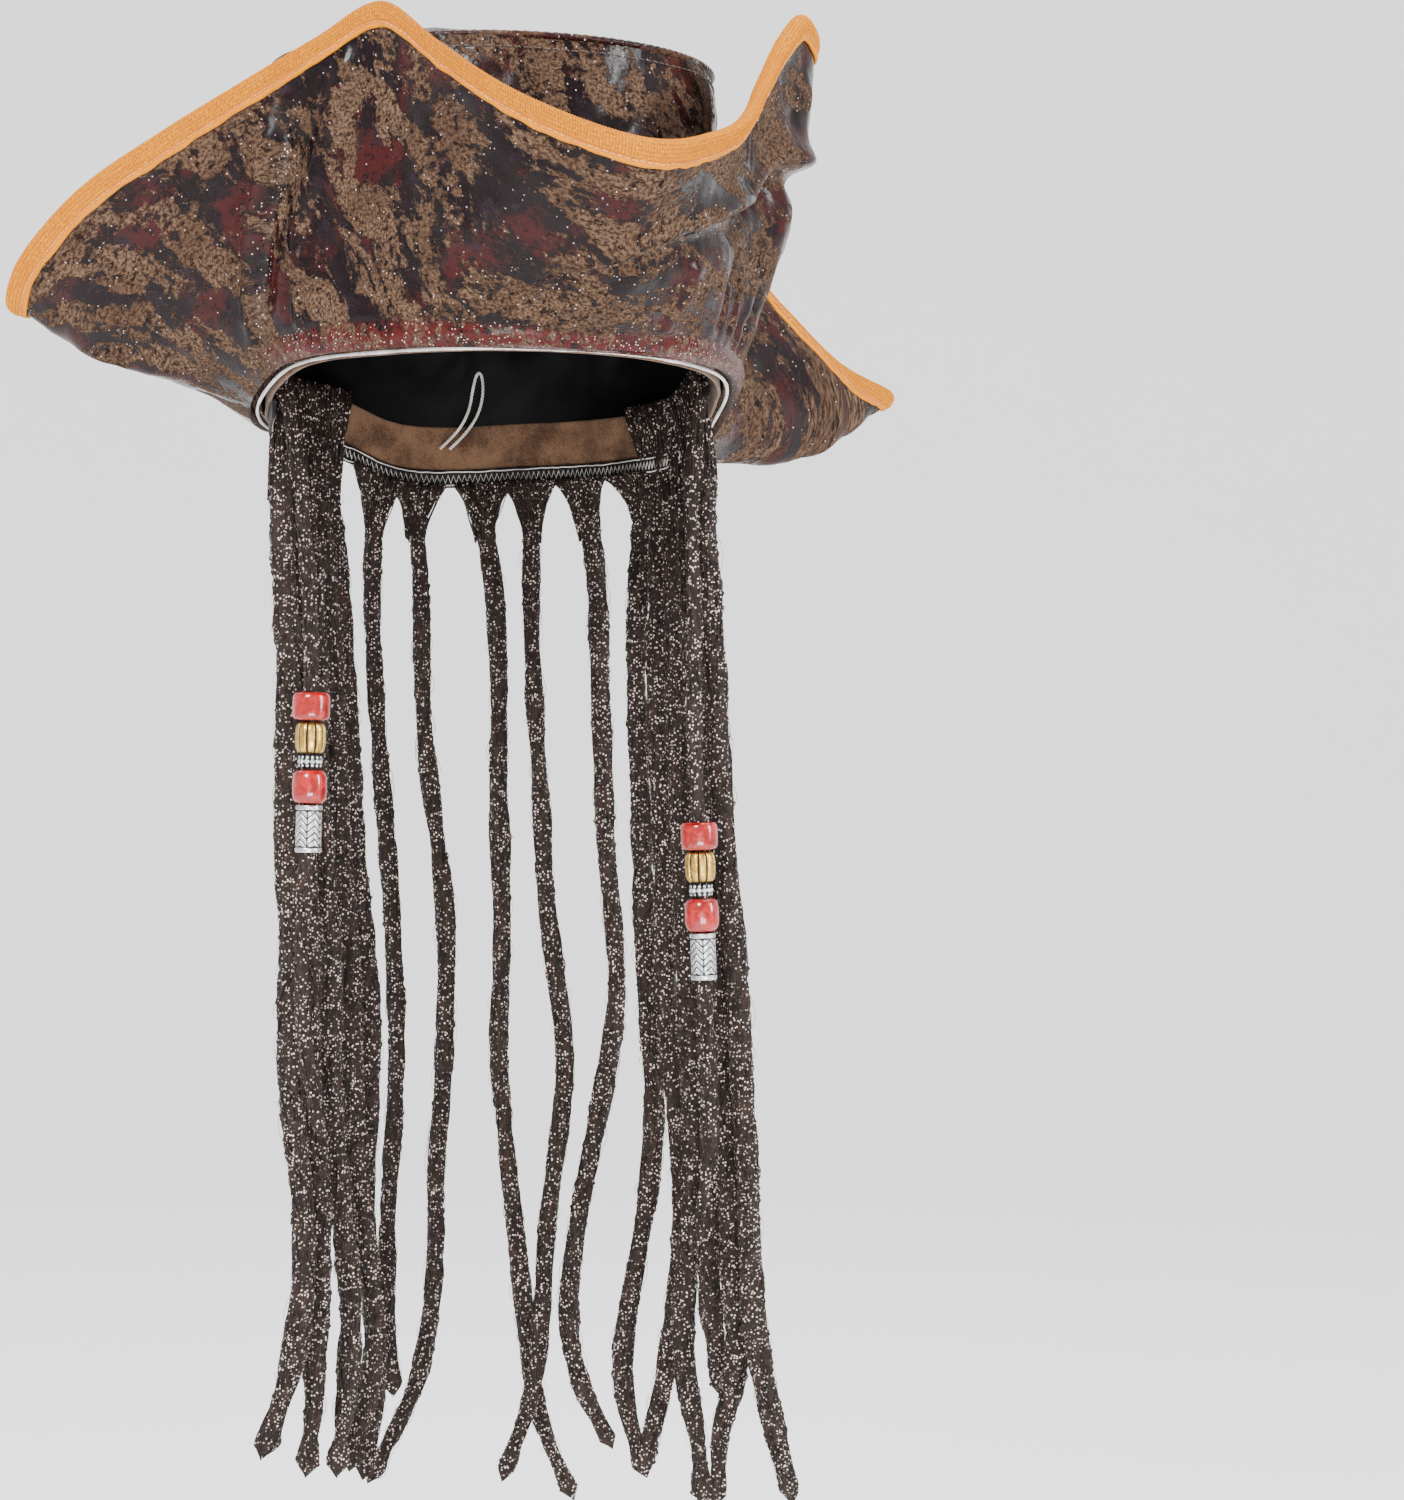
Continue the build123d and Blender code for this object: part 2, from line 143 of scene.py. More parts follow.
def threads(lines, radius, flat=1.0):
    """Square-sectioned threads with closed ends along lines, an array of (thread, point, xyz)."""
    count, steps = lines.shape[:2]
    along = unit(np.gradient(lines, axis=1))
    mean = unit(along.mean(axis=1, keepdims=True))
    aside = np.where(np.abs(mean[..., 2:]) < 0.8, [[[0.0, 0.0, 1.0]]], [[[0.6, 0.8, 0.0]]])
    one = unit(np.cross(along, aside))
    other = np.cross(along, one) * flat
    radius = np.broadcast_to(np.asarray(radius, float), (count, steps))[..., None]
    ring = np.stack([one * radius, other * radius, -one * radius, -other * radius], 2)
    points = lines[:, :, None, :] + ring
    quads = grid(steps, 4, wrap_columns=True)
    ends = np.array([[3, 2, 1, 0], [4 * steps - 4, 4 * steps - 3, 4 * steps - 2, 4 * steps - 1]])
    quads = np.concatenate([quads, ends])
    every = (quads[None] + (np.arange(count) * steps * 4)[:, None, None]).reshape(-1, 4)
    return points.reshape(-1, 3), every


def sides_of(path):
    """The direction along a line at each point, and two sides that turn as little as they can."""
    along = unit(np.gradient(path, axis=0))
    side = unit(np.cross(along[0], (0.3, 1.0, 0.0)))
    every = []
    for way in along:
        side = unit(side - way * (side @ way))
        every.append(side)
    every = np.array(every)
    return along, every, np.cross(along, every)


def evenly(path, step):
    """A line's points at even distances."""
    reach = np.concatenate([[0], np.cumsum(np.linalg.norm(np.diff(path, axis=0), axis=1))])
    places = np.linspace(0, reach[-1], max(int(round(reach[-1] / step)), 2) + 1)
    return np.stack([np.interp(places, reach, path[:, i]) for i in range(3)], 1), places


def smooth_line(points):
    """The points of a soft curve that is drawn by a route's own points."""
    curve = bpy.data.curves.new("route", "CURVE")
    curve.dimensions = "3D"
    curve.resolution_u = 24
    spline = curve.splines.new("NURBS")
    spline.points.add(len(points) - 1)
    for spot, place in zip(spline.points, points):
        spot.co = (*place, 1)
    spline.order_u = 3
    spline.use_endpoint_u = True
    holder = bpy.data.objects.new("route", curve)
    bpy.context.scene.collection.objects.link(holder)
    bpy.context.view_layer.update()
    mesh = bpy.data.meshes.new_from_object(holder.evaluated_get(bpy.context.evaluated_depsgraph_get()))
    line = np.array([v.co for v in mesh.vertices], float)
    bpy.data.objects.remove(holder)
    bpy.data.meshes.remove(mesh)
    return line


# ---------------------------------------------------------------- materials
class Paint:
    """A procedural material, with short names for its nodes."""

    def __init__(self, name):
        self.material = bpy.data.materials.new(name)
        self.material.use_nodes = True
        self.tree = self.material.node_tree
        self.tree.nodes.clear()

    def node(self, kind, inputs=None, **settings):
        made = self.tree.nodes.new("ShaderNode" + kind)
        for key, value in settings.items():
            setattr(made, key, value)
        for key, value in (inputs or {}).items():
            if isinstance(value, bpy.types.NodeSocket):
                self.tree.links.new(value, made.inputs[key])
            elif value is not None:
                made.inputs[key].default_value = value
        return made

    def place(self):
        return self.node("TexCoord").outputs["Object"]

    def uv(self):
        return self.node("TexCoord").outputs["UV"]

    def value(self, name):
        return self.node("Attribute", attribute_name=name).outputs["Fac"]

    def stretched(self, vector, scale, turn=0.0):
        made = self.node("Mapping", {"Vector": vector})
        made.inputs["Rotation"].default_value = (0, 0, math.radians(turn))
        turned = made.outputs[0]
        return self.node("Mapping", {"Vector": turned, "Scale": scale}).outputs[0]

    def noise(self, vector, scale, detail=4.0, roughness=0.55, distortion=0.0):
        return self.node("TexNoise", {
            "Vector": vector, "Scale": scale, "Detail": detail,
            "Roughness": roughness, "Distortion": distortion,
        }).outputs["Fac"]

    def cells(self, vector, scale, output="Distance", **settings):
        return self.node("TexVoronoi", {"Vector": vector, "Scale": scale}, **settings).outputs[output]

    def sum(self, operation, a, b=0.5, c=None):
        return self.node("Math", {0: a, 1: b, 2: c}, operation=operation).outputs[0]

    def rise(self, value, low, high, to_low=0.0, to_high=1.0):
        return self.node("MapRange", {
            "Value": value, "From Min": low, "From Max": high, "To Min": to_low, "To Max": to_high,
        }, interpolation_type="SMOOTHSTEP").outputs[0]

    def mix(self, share, a, b, way="MIX"):
        return self.node("Mix", {0: share, 6: a, 7: b}, data_type="RGBA", blend_type=way).outputs[2]

    def blur(self, share, a, b):
        return self.node("Mix", {0: share, 2: a, 3: b}, data_type="FLOAT").outputs[0]

    def bump(self, height, distance, strength=1.0, under=None):
        return self.node("Bump", {
            "Height": height, "Distance": distance, "Strength": strength, "Normal": under,
        }).outputs[0]

    def finish(self, **inputs):
        names = {key.replace("_", " "): value for key, value in inputs.items()}
        shader = self.node("BsdfPrincipled", names)
        output = self.node("OutputMaterial")
        self.tree.links.new(shader.outputs[0], output.inputs[0])
        return self.material


def tone(red, green, blue):
    """A colour given by its screen values, from 0 to 255."""
    return tuple(
        (v / 255 / 12.92) if v < 10.3 else ((v / 255 + 0.055) / 1.055) ** 2.4
        for v in (red, green, blue)
    ) + (1.0,)


def leather_material():
    """Brown suedette with ragged glossy dark patches, where its print has worn through, and pale specks
    painted into its colour as highlights.
    """
    p = Paint("distressed_leather")
    uv, place = p.uv(), p.place()
    warp = p.node("TexNoise", {"Vector": uv, "Scale": 16.0, "Detail": 3.0}).outputs["Color"]
    sway = p.node("VectorMath", {0: warp, 1: (0.03, 0.03, 0.0)}, operation="MULTIPLY").outputs[0]
    bent = p.node("VectorMath", {0: uv, 1: sway}, operation="ADD").outputs[0]
    steep = p.noise(p.stretched(bent, (34.0, 76.0, 1.0), turn=-62), 1.0, 10.0, 0.66, 0.35)
    flat = p.noise(p.stretched(bent, (24.0, 62.0, 1.0), turn=-16), 1.0, 10.0, 0.66, 0.35)
    streak = p.blur(p.value("steep"), flat, steep)
    grit = p.noise(uv, 820.0, 3.0, 0.7)
    crumbs = p.noise(uv, 330.0, 4.0, 0.7)
    rolled, crease = p.value("rolled"), p.value("crease")
    ragged = p.sum("ADD", streak, p.sum("MULTIPLY", p.sum("SUBTRACT", grit, 0.5), 0.16))
    ragged = p.sum("ADD", ragged, p.sum("MULTIPLY", p.sum("SUBTRACT", crumbs, 0.5), 0.30))
    dark = p.rise(ragged, 0.498, 0.512)
    red = p.rise(p.noise(uv, 24.0, 6.0, 0.66), 0.49, 0.57)
    soft = p.noise(uv, 48.0, 6.0, 0.6)
    suede = p.mix(p.rise(soft, 0.35, 0.65), tone(74, 56, 43), tone(95, 75, 59))
    suede = p.mix(p.rise(grit, 0.40, 0.60), tone(42, 29, 23), suede)
    plum = p.mix(red, tone(14, 6, 8), tone(46, 13, 12))
    plum = p.mix(p.rise(p.noise(uv, 90.0, 4.0), 0.55, 0.7), plum, tone(28, 17, 24))
    colour = p.mix(dark, suede, plum)
    near_edge = p.rise(p.sum("ABSOLUTE", p.sum("SUBTRACT", streak, 0.505)), 0.0, 0.06, 1.0, 0.0)
    # Painted highlights: the share of pale glint specks, a few near the patch edges and many more on the
    # rolled band and along the creases.
    painted_glint_share = p.sum("MAXIMUM", p.sum("MULTIPLY", near_edge, 0.05),
                   p.sum("MULTIPLY", p.sum("MAXIMUM", rolled, crease), 0.26))
    lottery = p.node("SeparateColor", {0: p.cells(place, 1050.0, "Color")}).outputs[0]
    painted_glint = p.sum("MULTIPLY", p.rise(p.cells(place, 1050.0), 0.17, 0.32, 1.0, 0.0),
                  p.sum("GREATER_THAN", lottery, p.sum("SUBTRACT", 0.985, painted_glint_share)))
    pepper = p.sum("ADD", crumbs, p.sum("MULTIPLY", near_edge, 0.05))
    fleck = p.rise(p.sum("ADD", pepper, p.sum("MULTIPLY", grit, 0.25)), 0.705, 0.725)
    colour = p.mix(p.sum("MULTIPLY", fleck, 0.9), colour, tone(16, 8, 8))
    colour = p.mix(p.sum("MULTIPLY", rolled, p.rise(crumbs, 0.46, 0.53)), colour, tone(66, 18, 15))
    # Painted highlight: pale glint specks mixed into the colour.
    colour = p.mix(p.sum("MULTIPLY", painted_glint, 0.85), colour, tone(226, 204, 196))
    gloss = p.sum("MAXIMUM", dark, p.sum("MULTIPLY", p.sum("MAXIMUM", rolled, crease), 0.8))
    rough = p.blur(gloss, p.rise(grit, 0.3, 0.7, 0.8, 0.6), p.rise(grit, 0.3, 0.7, 0.12, 0.26))
    height = p.sum("ADD", p.sum("MULTIPLY", grit, p.blur(dark, 0.5, 0.12)), p.sum("MULTIPLY", dark, -0.35))
    height = p.sum("ADD", height, p.sum("MULTIPLY", fleck, -0.5))
    pebble = p.bump(p.noise(uv, 260.0, 4.0, 0.6), 0.0009, 0.22)
    return p.finish(
        Base_Color=colour, Roughness=rough, Normal=p.bump(height, 0.00045, 0.75, pebble),
        Specular_IOR_Level=p.blur(gloss, 0.05, 0.13), Coat_Weight=p.sum("MULTIPLY", gloss, 0.04),
        Coat_Roughness=0.1,
    )


def knit_material():
    """Orange stretch knit: fine ribs across the tape with rows of loops along it, with painted shade
    between the loops and along the stitched groove and painted highlights on its fuzz.
    """
    p = Paint("binding_knit")
    uv = p.uv()
    parts = p.node("SeparateXYZ", {0: uv})
    along, across = parts.outputs[0], parts.outputs[1]
    rib = p.sum("SINE", p.sum("MULTIPLY", along, 2 * math.pi / 0.0011))
    row = p.sum("SINE", p.sum("MULTIPLY", across, 2 * math.pi / 0.0014))
    loops = p.sum("MULTIPLY", p.rise(rib, -0.6, 0.9), p.rise(row, -0.7, 0.9))
    fuzz = p.noise(uv, 900.0, 4.0, 0.7)
    base = p.mix(p.noise(uv, 60.0, 5.0, 0.6), tone(186, 104, 0), tone(208, 132, 2))
    ribbed = p.value("ribbed")
    filled = p.sum("ADD", loops, p.sum("MULTIPLY", fuzz, 0.5))
    # Painted shade: dark brown in the gaps between the loops, where shade falls.
    gap_shade = p.sum("MULTIPLY", ribbed, p.rise(filled, 0.12, 0.45, 1.0, 0.0))
    colour = p.mix(p.sum("MULTIPLY", gap_shade, 0.75), base, tone(96, 44, 8))
    # Painted highlight: paler gold where the fuzz catches the light.
    colour = p.mix(p.sum("MULTIPLY", p.rise(fuzz, 0.52, 0.7), 0.45), colour, tone(226, 162, 34))
    # Painted shade along the stitched groove, carried by the worn share; it is not wear.
    colour = p.mix(p.value("worn"), colour, tone(176, 92, 28))
    height = p.sum("ADD", loops, fuzz)
    return p.finish(Base_Color=colour, Roughness=0.82, Normal=p.bump(height, 0.0003, 0.8),
                    Specular_IOR_Level=0.08)


def hair_material():
    """Dark brown matted synthetic hair, with fine pale specks painted into its colour as highlights."""
    p = Paint("hair")
    place = p.place()
    long = p.node("Mapping", {"Vector": place, "Scale": (1.0, 1.0, 0.22)}).outputs[0]
    lump = p.noise(long, 420.0, 6.0, 0.65)
    fine = p.noise(long, 2300.0, 3.0, 0.7)
    colour = p.mix(p.rise(lump, 0.35, 0.68), tone(9, 5, 4), tone(36, 24, 18))
    colour = p.mix(p.rise(fine, 0.5, 0.75), colour, tone(66, 46, 37))
    # Painted highlights: pale glint specks mixed into the colour, glossier where they lie.
    lottery = p.node("SeparateColor", {0: p.cells(place, 1000.0, "Color")}).outputs[0]
    painted_glint = p.sum("MULTIPLY", p.rise(p.cells(place, 1000.0), 0.25, 0.46, 1.0, 0.0),
                  p.sum("GREATER_THAN", lottery, 0.58))
    painted_glint = p.sum("MULTIPLY", painted_glint, p.rise(p.noise(place, 190.0, 3.0), 0.34, 0.54))
    colour = p.mix(p.sum("MULTIPLY", painted_glint, 0.85), colour, tone(232, 212, 204))
    height = p.sum("ADD", lump, p.sum("MULTIPLY", fine, 0.7))
    return p.finish(Base_Color=colour, Roughness=p.blur(painted_glint, 0.62, 0.25),
                    Normal=p.bump(height, 0.0008, 0.9), Specular_IOR_Level=0.2)


def cloth_material(name, dark, light, thread=1400.0, rough=0.8, depth=0.00015, sheen=0.2, shine=0.4):
    """A plain fine-threaded cloth with a slightly uneven colour."""
    p = Paint(name)
    place = p.place()
    cloud = p.noise(place, 70.0, 5.0, 0.6)
    fine = p.noise(place, thread, 3.0, 0.7)
    share = p.sum("ADD", p.sum("MULTIPLY", cloud, 0.6), p.sum("MULTIPLY", fine, 0.4))
    colour = p.mix(p.rise(share, 0.38, 0.62), dark, light)
    return p.finish(Base_Color=colour, Roughness=p.rise(fine, 0.3, 0.7, rough, rough * 0.85),
                    Normal=p.bump(fine, depth, 0.7), Sheen_Weight=sheen, Sheen_Roughness=0.5,
                    Specular_IOR_Level=shine)


def glaze_material():
    """Glossy red glass with faint cloudy swirls and pin-hole flaws."""
    p = Paint("red_bead")
    place = p.place()
    swirl = p.noise(place, 210.0, 5.0, 0.6, 1.4)
    colour = p.mix(p.rise(swirl, 0.35, 0.68), tone(112, 0, 0), tone(160, 3, 3))
    colour = p.mix(p.rise(p.noise(place, 900.0, 2.0), 0.68, 0.74), colour, tone(90, 2, 4))
    return p.finish(Base_Color=colour, Roughness=p.rise(swirl, 0.3, 0.7, 0.10, 0.2), Coat_Weight=0.4,
                    Coat_Roughness=0.05, Normal=p.bump(p.noise(place, 420.0, 3.0), 0.0001, 0.5))


def metal_material(name, bright, worn, recess):
    """Old cast metal: bright on what stands out, dark in the recesses."""
    p = Paint(name)
    place = p.place()
    cloud = p.noise(place, 500.0, 5.0, 0.65)
    deep = p.rise(p.sum("ADD", p.value("recess"), p.sum("MULTIPLY", p.sum("SUBTRACT", cloud, 0.5), 0.5)),
                  0.32, 0.72)
    colour = p.mix(p.rise(cloud, 0.4, 0.68), bright, worn)
    colour = p.mix(deep, colour, recess)
    return p.finish(Base_Color=colour, Metallic=p.blur(deep, 1.0, 0.5),
                    Roughness=p.blur(deep, p.rise(cloud, 0.3, 0.7, 0.22, 0.42), 0.7),
                    Normal=p.bump(cloud, 0.00022, 0.6))


leather = leather_material()
knit = knit_material()
hair = hair_material()
# The lining is black cloth, its colour made darker still as painted shade for the dark inside of the crown.
lining_black = cloth_material("lining_cloth", tone(2, 2, 3), tone(7, 6, 7), 1900.0, 0.7, 0.0001, 0.0, 0.08)
suedette = cloth_material("sweatband_suede", tone(58, 40, 30), tone(104, 78, 58), 1500.0, 0.9, 0.0002,
                          0.1, 0.1)
elastic = cloth_material("elastic_band", tone(6, 5, 6), tone(22, 19, 19), 1500.0, 0.75, 0.0002, 0.05, 0.2)
pale_piping = cloth_material("piping", tone(150, 146, 144), tone(222, 218, 214), 1500.0, 0.4, 0.0001)
pale_thread = cloth_material("thread", tone(168, 160, 152), tone(226, 220, 212), 2500.0, 0.55, 0.0001)
gold_thread = cloth_material("binding_thread", tone(170, 98, 30), tone(226, 158, 74), 2500.0, 0.6, 0.0001)
dark_thread = cloth_material("seam_thread", tone(40, 30, 26), tone(78, 60, 50), 2500.0, 0.55, 0.0001)
red_glass = glaze_material()
brass = metal_material("gold_bead", tone(196, 160, 84), tone(150, 116, 56), tone(34, 24, 12))
silver = metal_material("silver_bead", tone(206, 206, 208), tone(150, 150, 154), tone(30, 30, 32))

# ---------------------------------------------------------------- locks
rear_locks = {
    "rear_lock_a": (6.4, [
        (-21, 92, -34), (-22, 93, -64), (-20, 94, -100), (-18, 93, -136), (-15, 92, -172),
        (-13, 92, -206), (-11, 93, -240), (-12, 94, -276), (-15, 93, -308), (-16, 92, -340),
        (-14, 92, -372),
    ]),
    "rear_lock_b": (6.6, [
        (-4, 95, -35), (0, 96, -56), (0, 97, -92), (1, 95, -128), (6, 94, -164), (10, 95, -196),
        (10, 96, -229), (9, 97, -265), (6, 98, -297), (7, 99, -327), (5, 100, -356),
        (1, 101, -379), (-6, 102, -396), (-14, 102, -410),
    ]),
    "rear_lock_c": (6.8, [
        (24, 90, -35), (29, 91, -61), (31, 91, -100), (30, 90, -140), (31, 89, -176),
        (32, 90, -213), (30, 91, -247), (33, 92, -278), (37, 92, -314), (41, 91, -351),
        (44, 90, -383), (50, 90, -406), (57, 91, -421),
    ]),
    "rear_lock_d": (6.6, [
        (42, 83, -35), (42, 84, -63), (43, 84, -104), (46, 83, -144), (47, 82, -180),
        (51, 82, -213), (57, 82, -253), (53, 83, -288), (48, 82, -320), (46, 81, -350),
        (44, 80, -375), (39, 80, -394), (34, 81, -408),
    ]),
    "rear_lock_e": (7.0, [
        (62, 70, -35), (66, 71, -60), (67, 71, -96), (68, 70, -132), (69, 70, -168),
        (73, 71, -200), (75, 71, -229), (69, 72, -265), (61, 72, -301), (55, 71, -332),
        (53, 70, -360), (58, 70, -382), (66, 71, -397),
    ]),
}
right_locks = {
    "right_lock_1": (7.6, [
        (78, 50, -28), (77, 51, -54), (75, 52, -88), (77, 52, -128), (78, 51, -168),
        (79, 51, -207), (82, 52, -243), (84, 52, -275), (80, 51, -309), (73, 50, -342),
        (69, 51, -368), (71, 52, -388), (76, 52, -404),
    ]),
    "right_lock_2": (8.0, [
        (80, 39, -24), (82, 40, -55), (80, 40, -92), (81, 39, -132), (83, 39, -171),
        (83, 40, -211), (86, 40, -251), (90, 39, -290), (90, 38, -326), (87, 39, -355),
        (83, 40, -379), (77, 39, -399),
    ]),
    "right_lock_3": (8.2, [
        (82, 28, -23), (83, 28, -55), (84, 29, -93), (84, 27, -136), (87, 27, -179),
        (89, 28, -218), (90, 28, -257), (92, 27, -293), (89, 28, -326), (86, 28, -353),
        (88, 27, -379), (92, 27, -395), (94, 28, -411),
    ]),
    "right_lock_4": (8.4, [
        (83, 17, -24), (84, 16, -55), (88, 16, -93), (89, 17, -136), (91, 17, -175),
        (93, 16, -214), (93, 15, -252), (96, 16, -292), (93, 17, -323), (94, 16, -348),
        (97, 16, -367),
    ]),
    "right_lock_5": (8.4, [
        (83, 5, -23), (85, 5, -55), (88, 6, -97), (88, 7, -139), (91, 6, -182), (95, 5, -221),
        (96, 5, -259), (98, 6, -294), (98, 6, -325), (101, 5, -352), (99, 5, -374),
        (94, 6, -390), (93, 6, -406),
    ]),
    "right_lock_6": (8.6, [
        (83, -6, -20), (83, -6, -55), (87, -6, -94), (89, -5, -132), (92, -5, -174),
        (96, -6, -212), (98, -6, -254), (101, -5, -292), (102, -5, -325), (103, -6, -351),
        (108, -6, -374), (112, -6, -391), (116, -5, -405),
    ]),
}
left_locks = {
    "left_lock_1": (8.6, [
        (-73, 31, -26), (-73, 30, -58), (-70, 30, -92), (-71, 31, -132), (-71, 32, -169),
        (-69, 31, -199), (-71, 30, -233), (-69, 31, -263), (-65, 31, -293), (-64, 30, -323),
        (-67, 30, -349), (-71, 31, -366), (-76, 31, -380),
    ]),
    "left_lock_2": (8.4, [
        (-66, 43, -24), (-64, 42, -57), (-62, 42, -94), (-63, 43, -132), (-61, 43, -170),
        (-59, 42, -208), (-60, 42, -242), (-58, 43, -272), (-55, 43, -302), (-55, 42, -331),
        (-58, 42, -356), (-57, 43, -374), (-59, 43, -390),
    ]),
    "left_lock_3": (8.2, [
        (-59, 55, -23), (-56, 54, -57), (-53, 54, -94), (-54, 55, -132), (-51, 55, -170),
        (-48, 54, -209), (-49, 54, -247), (-46, 55, -282), (-43, 55, -313), (-40, 54, -340),
        (-41, 54, -367), (-44, 55, -394),
    ]),
    "left_lock_4": (8.4, [
        (-51, 66, -23), (-47, 66, -57), (-44, 67, -94), (-43, 67, -132), (-41, 66, -171),
        (-37, 66, -210), (-37, 67, -249), (-35, 67, -284), (-32, 66, -315), (-27, 66, -345),
        (-28, 67, -372), (-34, 67, -395),
    ]),
    "left_lock_5": (8.0, [
        (-43, 79, -24), (-39, 79, -56), (-37, 79, -90), (-34, 78, -128), (-33, 78, -167),
        (-28, 79, -203), (-25, 79, -238), (-27, 79, -274), (-29, 78, -305), (-27, 78, -337),
        (-23, 79, -363), (-24, 79, -384), (-27, 78, -401),
    ]),
}
bead_locks = {
    "right_bead_lock": (5.2, [
        (72, -20, -20), (72, -21, -50), (74, -20, -84), (73, -20, -118), (75, -20, -152),
        (77.5, -20, -220), (80, -20, -254), (79, -21, -282), (75, -21, -304),
    ]),
    "left_bead_lock": (5.2, [
        (-70, 14, -22), (-69, 13, -45), (-66, 14, -70), (-65.5, 14, -104), (-67, 14, -172),
        (-70, 14, -206), (-68, 15, -234), (-65, 15, -256),
    ]),
}
tip_length = 14.0
line_step = 0.9
body_of_lock = {name: name for name in rear_locks}
body_of_lock.update({name: "right_bundle" for name in right_locks})
body_of_lock.update({name: "left_bundle" for name in left_locks})
body_of_lock.update({"right_bead_lock": "right_bead_strand", "left_bead_lock": "left_bead_strand"})
bead_kinds = ("red_barrel_bead", "gold_melon_bead", "silver_spacer_ring", "red_round_bead",
              "silver_tube_bead")


def lock_line(route):
    """The soft line of a lock in millimetres, with its tip, at steps of about 0.9."""
    last, before = np.array(route[-1], float), np.array(route[-2], float)
    tip = last + unit(last - before) * tip_length
    points = np.array([*route, tip], float) * MM
    return evenly(smooth_line(points) / MM, line_step)


def lock_piece(name, diameter, route, seed, slim=None):
    """One matted lock: a lumpy twisted core, coarse fibres wound over it and loose hairs."""
    dice = np.random.default_rng(seed)
    line, reach = lock_line(route)
    long = reach[-1]
    along, side, other = sides_of(line)
    radius = diameter / 2
    left = long - reach
    flare = dice.uniform(0.85, 1.2)
    neck = dice.uniform(0.58, 0.84)
    wide = np.interp(left, [0, 1.5, 5, 9, 15, 22, 34, 60],
                     [0.10, 0.35, flare, flare * 0.9, neck, 0.78, 0.95, 1.0])
    thin = np.interp(left, [0, 1.5, 5, 9, 15, 22, 34, 60],
                     [0.10, 0.25, 0.42, 0.5, neck * 0.9, 0.78, 0.95, 1.0])
    head = np.interp(reach, [0, 2, 5], [0.45, 0.85, 1.0])
    lean = dice.uniform(-0.6, 0.6)
    across = unit(np.cross(along, (0.35, 0.93, 0.0)))
    across = across * math.cos(lean) + np.cross(along, across) * math.sin(lean)
    depth = np.cross(along, across)
    around = 26
    angle = np.linspace(0, 2 * np.pi, around, endpoint=False)
    ring = (across[:, None] * (np.cos(angle)[None, :, None] * (wide * head)[:, None, None])
            + depth[:, None] * (np.sin(angle)[None, :, None] * (thin * head)[:, None, None]))
    rough = line[:, None] + ring * radius
    twist = dice.uniform(0.05, 0.10) * dice.choice((-1, 1))
    phase = angle[None] * 5 + reach[:, None] * twist * 5 + 1.6 * waves(rough, 14, seed + 1)
    swell = 1 + 0.11 * waves(line, 24, seed + 2)[:, None] + 0.075 * waves(rough, 7.5, seed + 3)
    swell += 0.085 * waves(rough, 3.1, seed + 4) + 0.05 * np.sin(phase)
    swell += 0.05 * dice.normal(size=swell.shape)
    if slim is not None:
        swell = 1 + (swell - 1) * slim(reach)[:, None]
    core = line[:, None] + ring * radius * swell[..., None]
    ends = np.stack([line[0] - along[0] * radius * 0.2, line[-1] + along[-1] * 0.8])
    core_quads = grid(len(line), around, wrap_columns=True)
    first, last = np.arange(around), (len(line) - 1) * around + np.arange(around)
    rings = [core.reshape(-1, 3)]
    caps, count = [], len(line) * around
    for edge, middle, flip in ((first, ends[0], 1), (last, ends[1], -1)):
        small = middle + (core.reshape(-1, 3)[edge] - middle) * 0.3
        rings.append(small)
        inner = count + np.arange(around)
        wall = np.stack([edge, inner, np.roll(inner, -1), np.roll(edge, -1)], 1)
        fan = [inner[[i, i + 1, around - 2 - i, around - 1 - i]] for i in range(around // 2 - 1)]
        cap = np.concatenate([wall, np.array(fan)])
        caps.append(cap[:, ::flip])
        count += around
    parts = [(np.concatenate(rings), np.concatenate([core_quads, *caps]))]

    def wound(number, span, turns, lift, sway, thick, steps, ends_in=0.0):
        start = dice.uniform(0, max(long - 16, 1), number)
        stop = np.minimum(start + dice.uniform(*span, number), long + 1.5)
        s = start[:, None] + (stop - start)[:, None] * np.linspace(0, 1, steps)
        theta = dice.uniform(0, 2 * np.pi, number)[:, None] + np.linspace(0, 1, steps) * dice.uniform(
            -turns, turns, number)[:, None]
        theta = theta + sway * np.sin(s / dice.uniform(3, 8, number)[:, None] + theta * 3)
        share = np.clip(s / long, 0, 1) * (len(line) - 1)
        low = np.minimum(share.astype(int), len(line) - 2)
        part = (share - low)[..., None]

        def on(values):
            return values[low] * (1 - part) + values[low + 1] * part

        bulge = 1 + 0.11 * on(waves(line, 24, seed + 2)[:, None])[..., 0]
        if slim is not None:
            bulge = 1 + (bulge - 1) * slim(s)
        out = radius * bulge + lift(number, steps)
        w, d = on((wide * head)[:, None])[..., 0], on((thin * head)[:, None])[..., 0]
        one, two = np.cos(theta) * w * out, np.sin(theta) * d * out
        held = np.minimum(1, (0.6 * diameter + 1.6) / np.maximum(np.hypot(one, two), 0.1))
        spot = on(line) + on(across) * (one * held)[..., None] + on(depth) * (two * held)[..., None]
        fade = np.interp(np.linspace(0, 1, steps), [0, 0.12, 0.85, 1], [0.45, 1, 1, 0.3])
        parts.append(threads(spot, thick * dice.uniform(0.6, 1.3, number)[:, None] * fade))

    def buried(number, steps):
        rise = np.sin(np.linspace(0, np.pi, steps)) ** 0.5
        return -0.45 + rise[None] * dice.uniform(0.25, 0.75, number)[:, None]

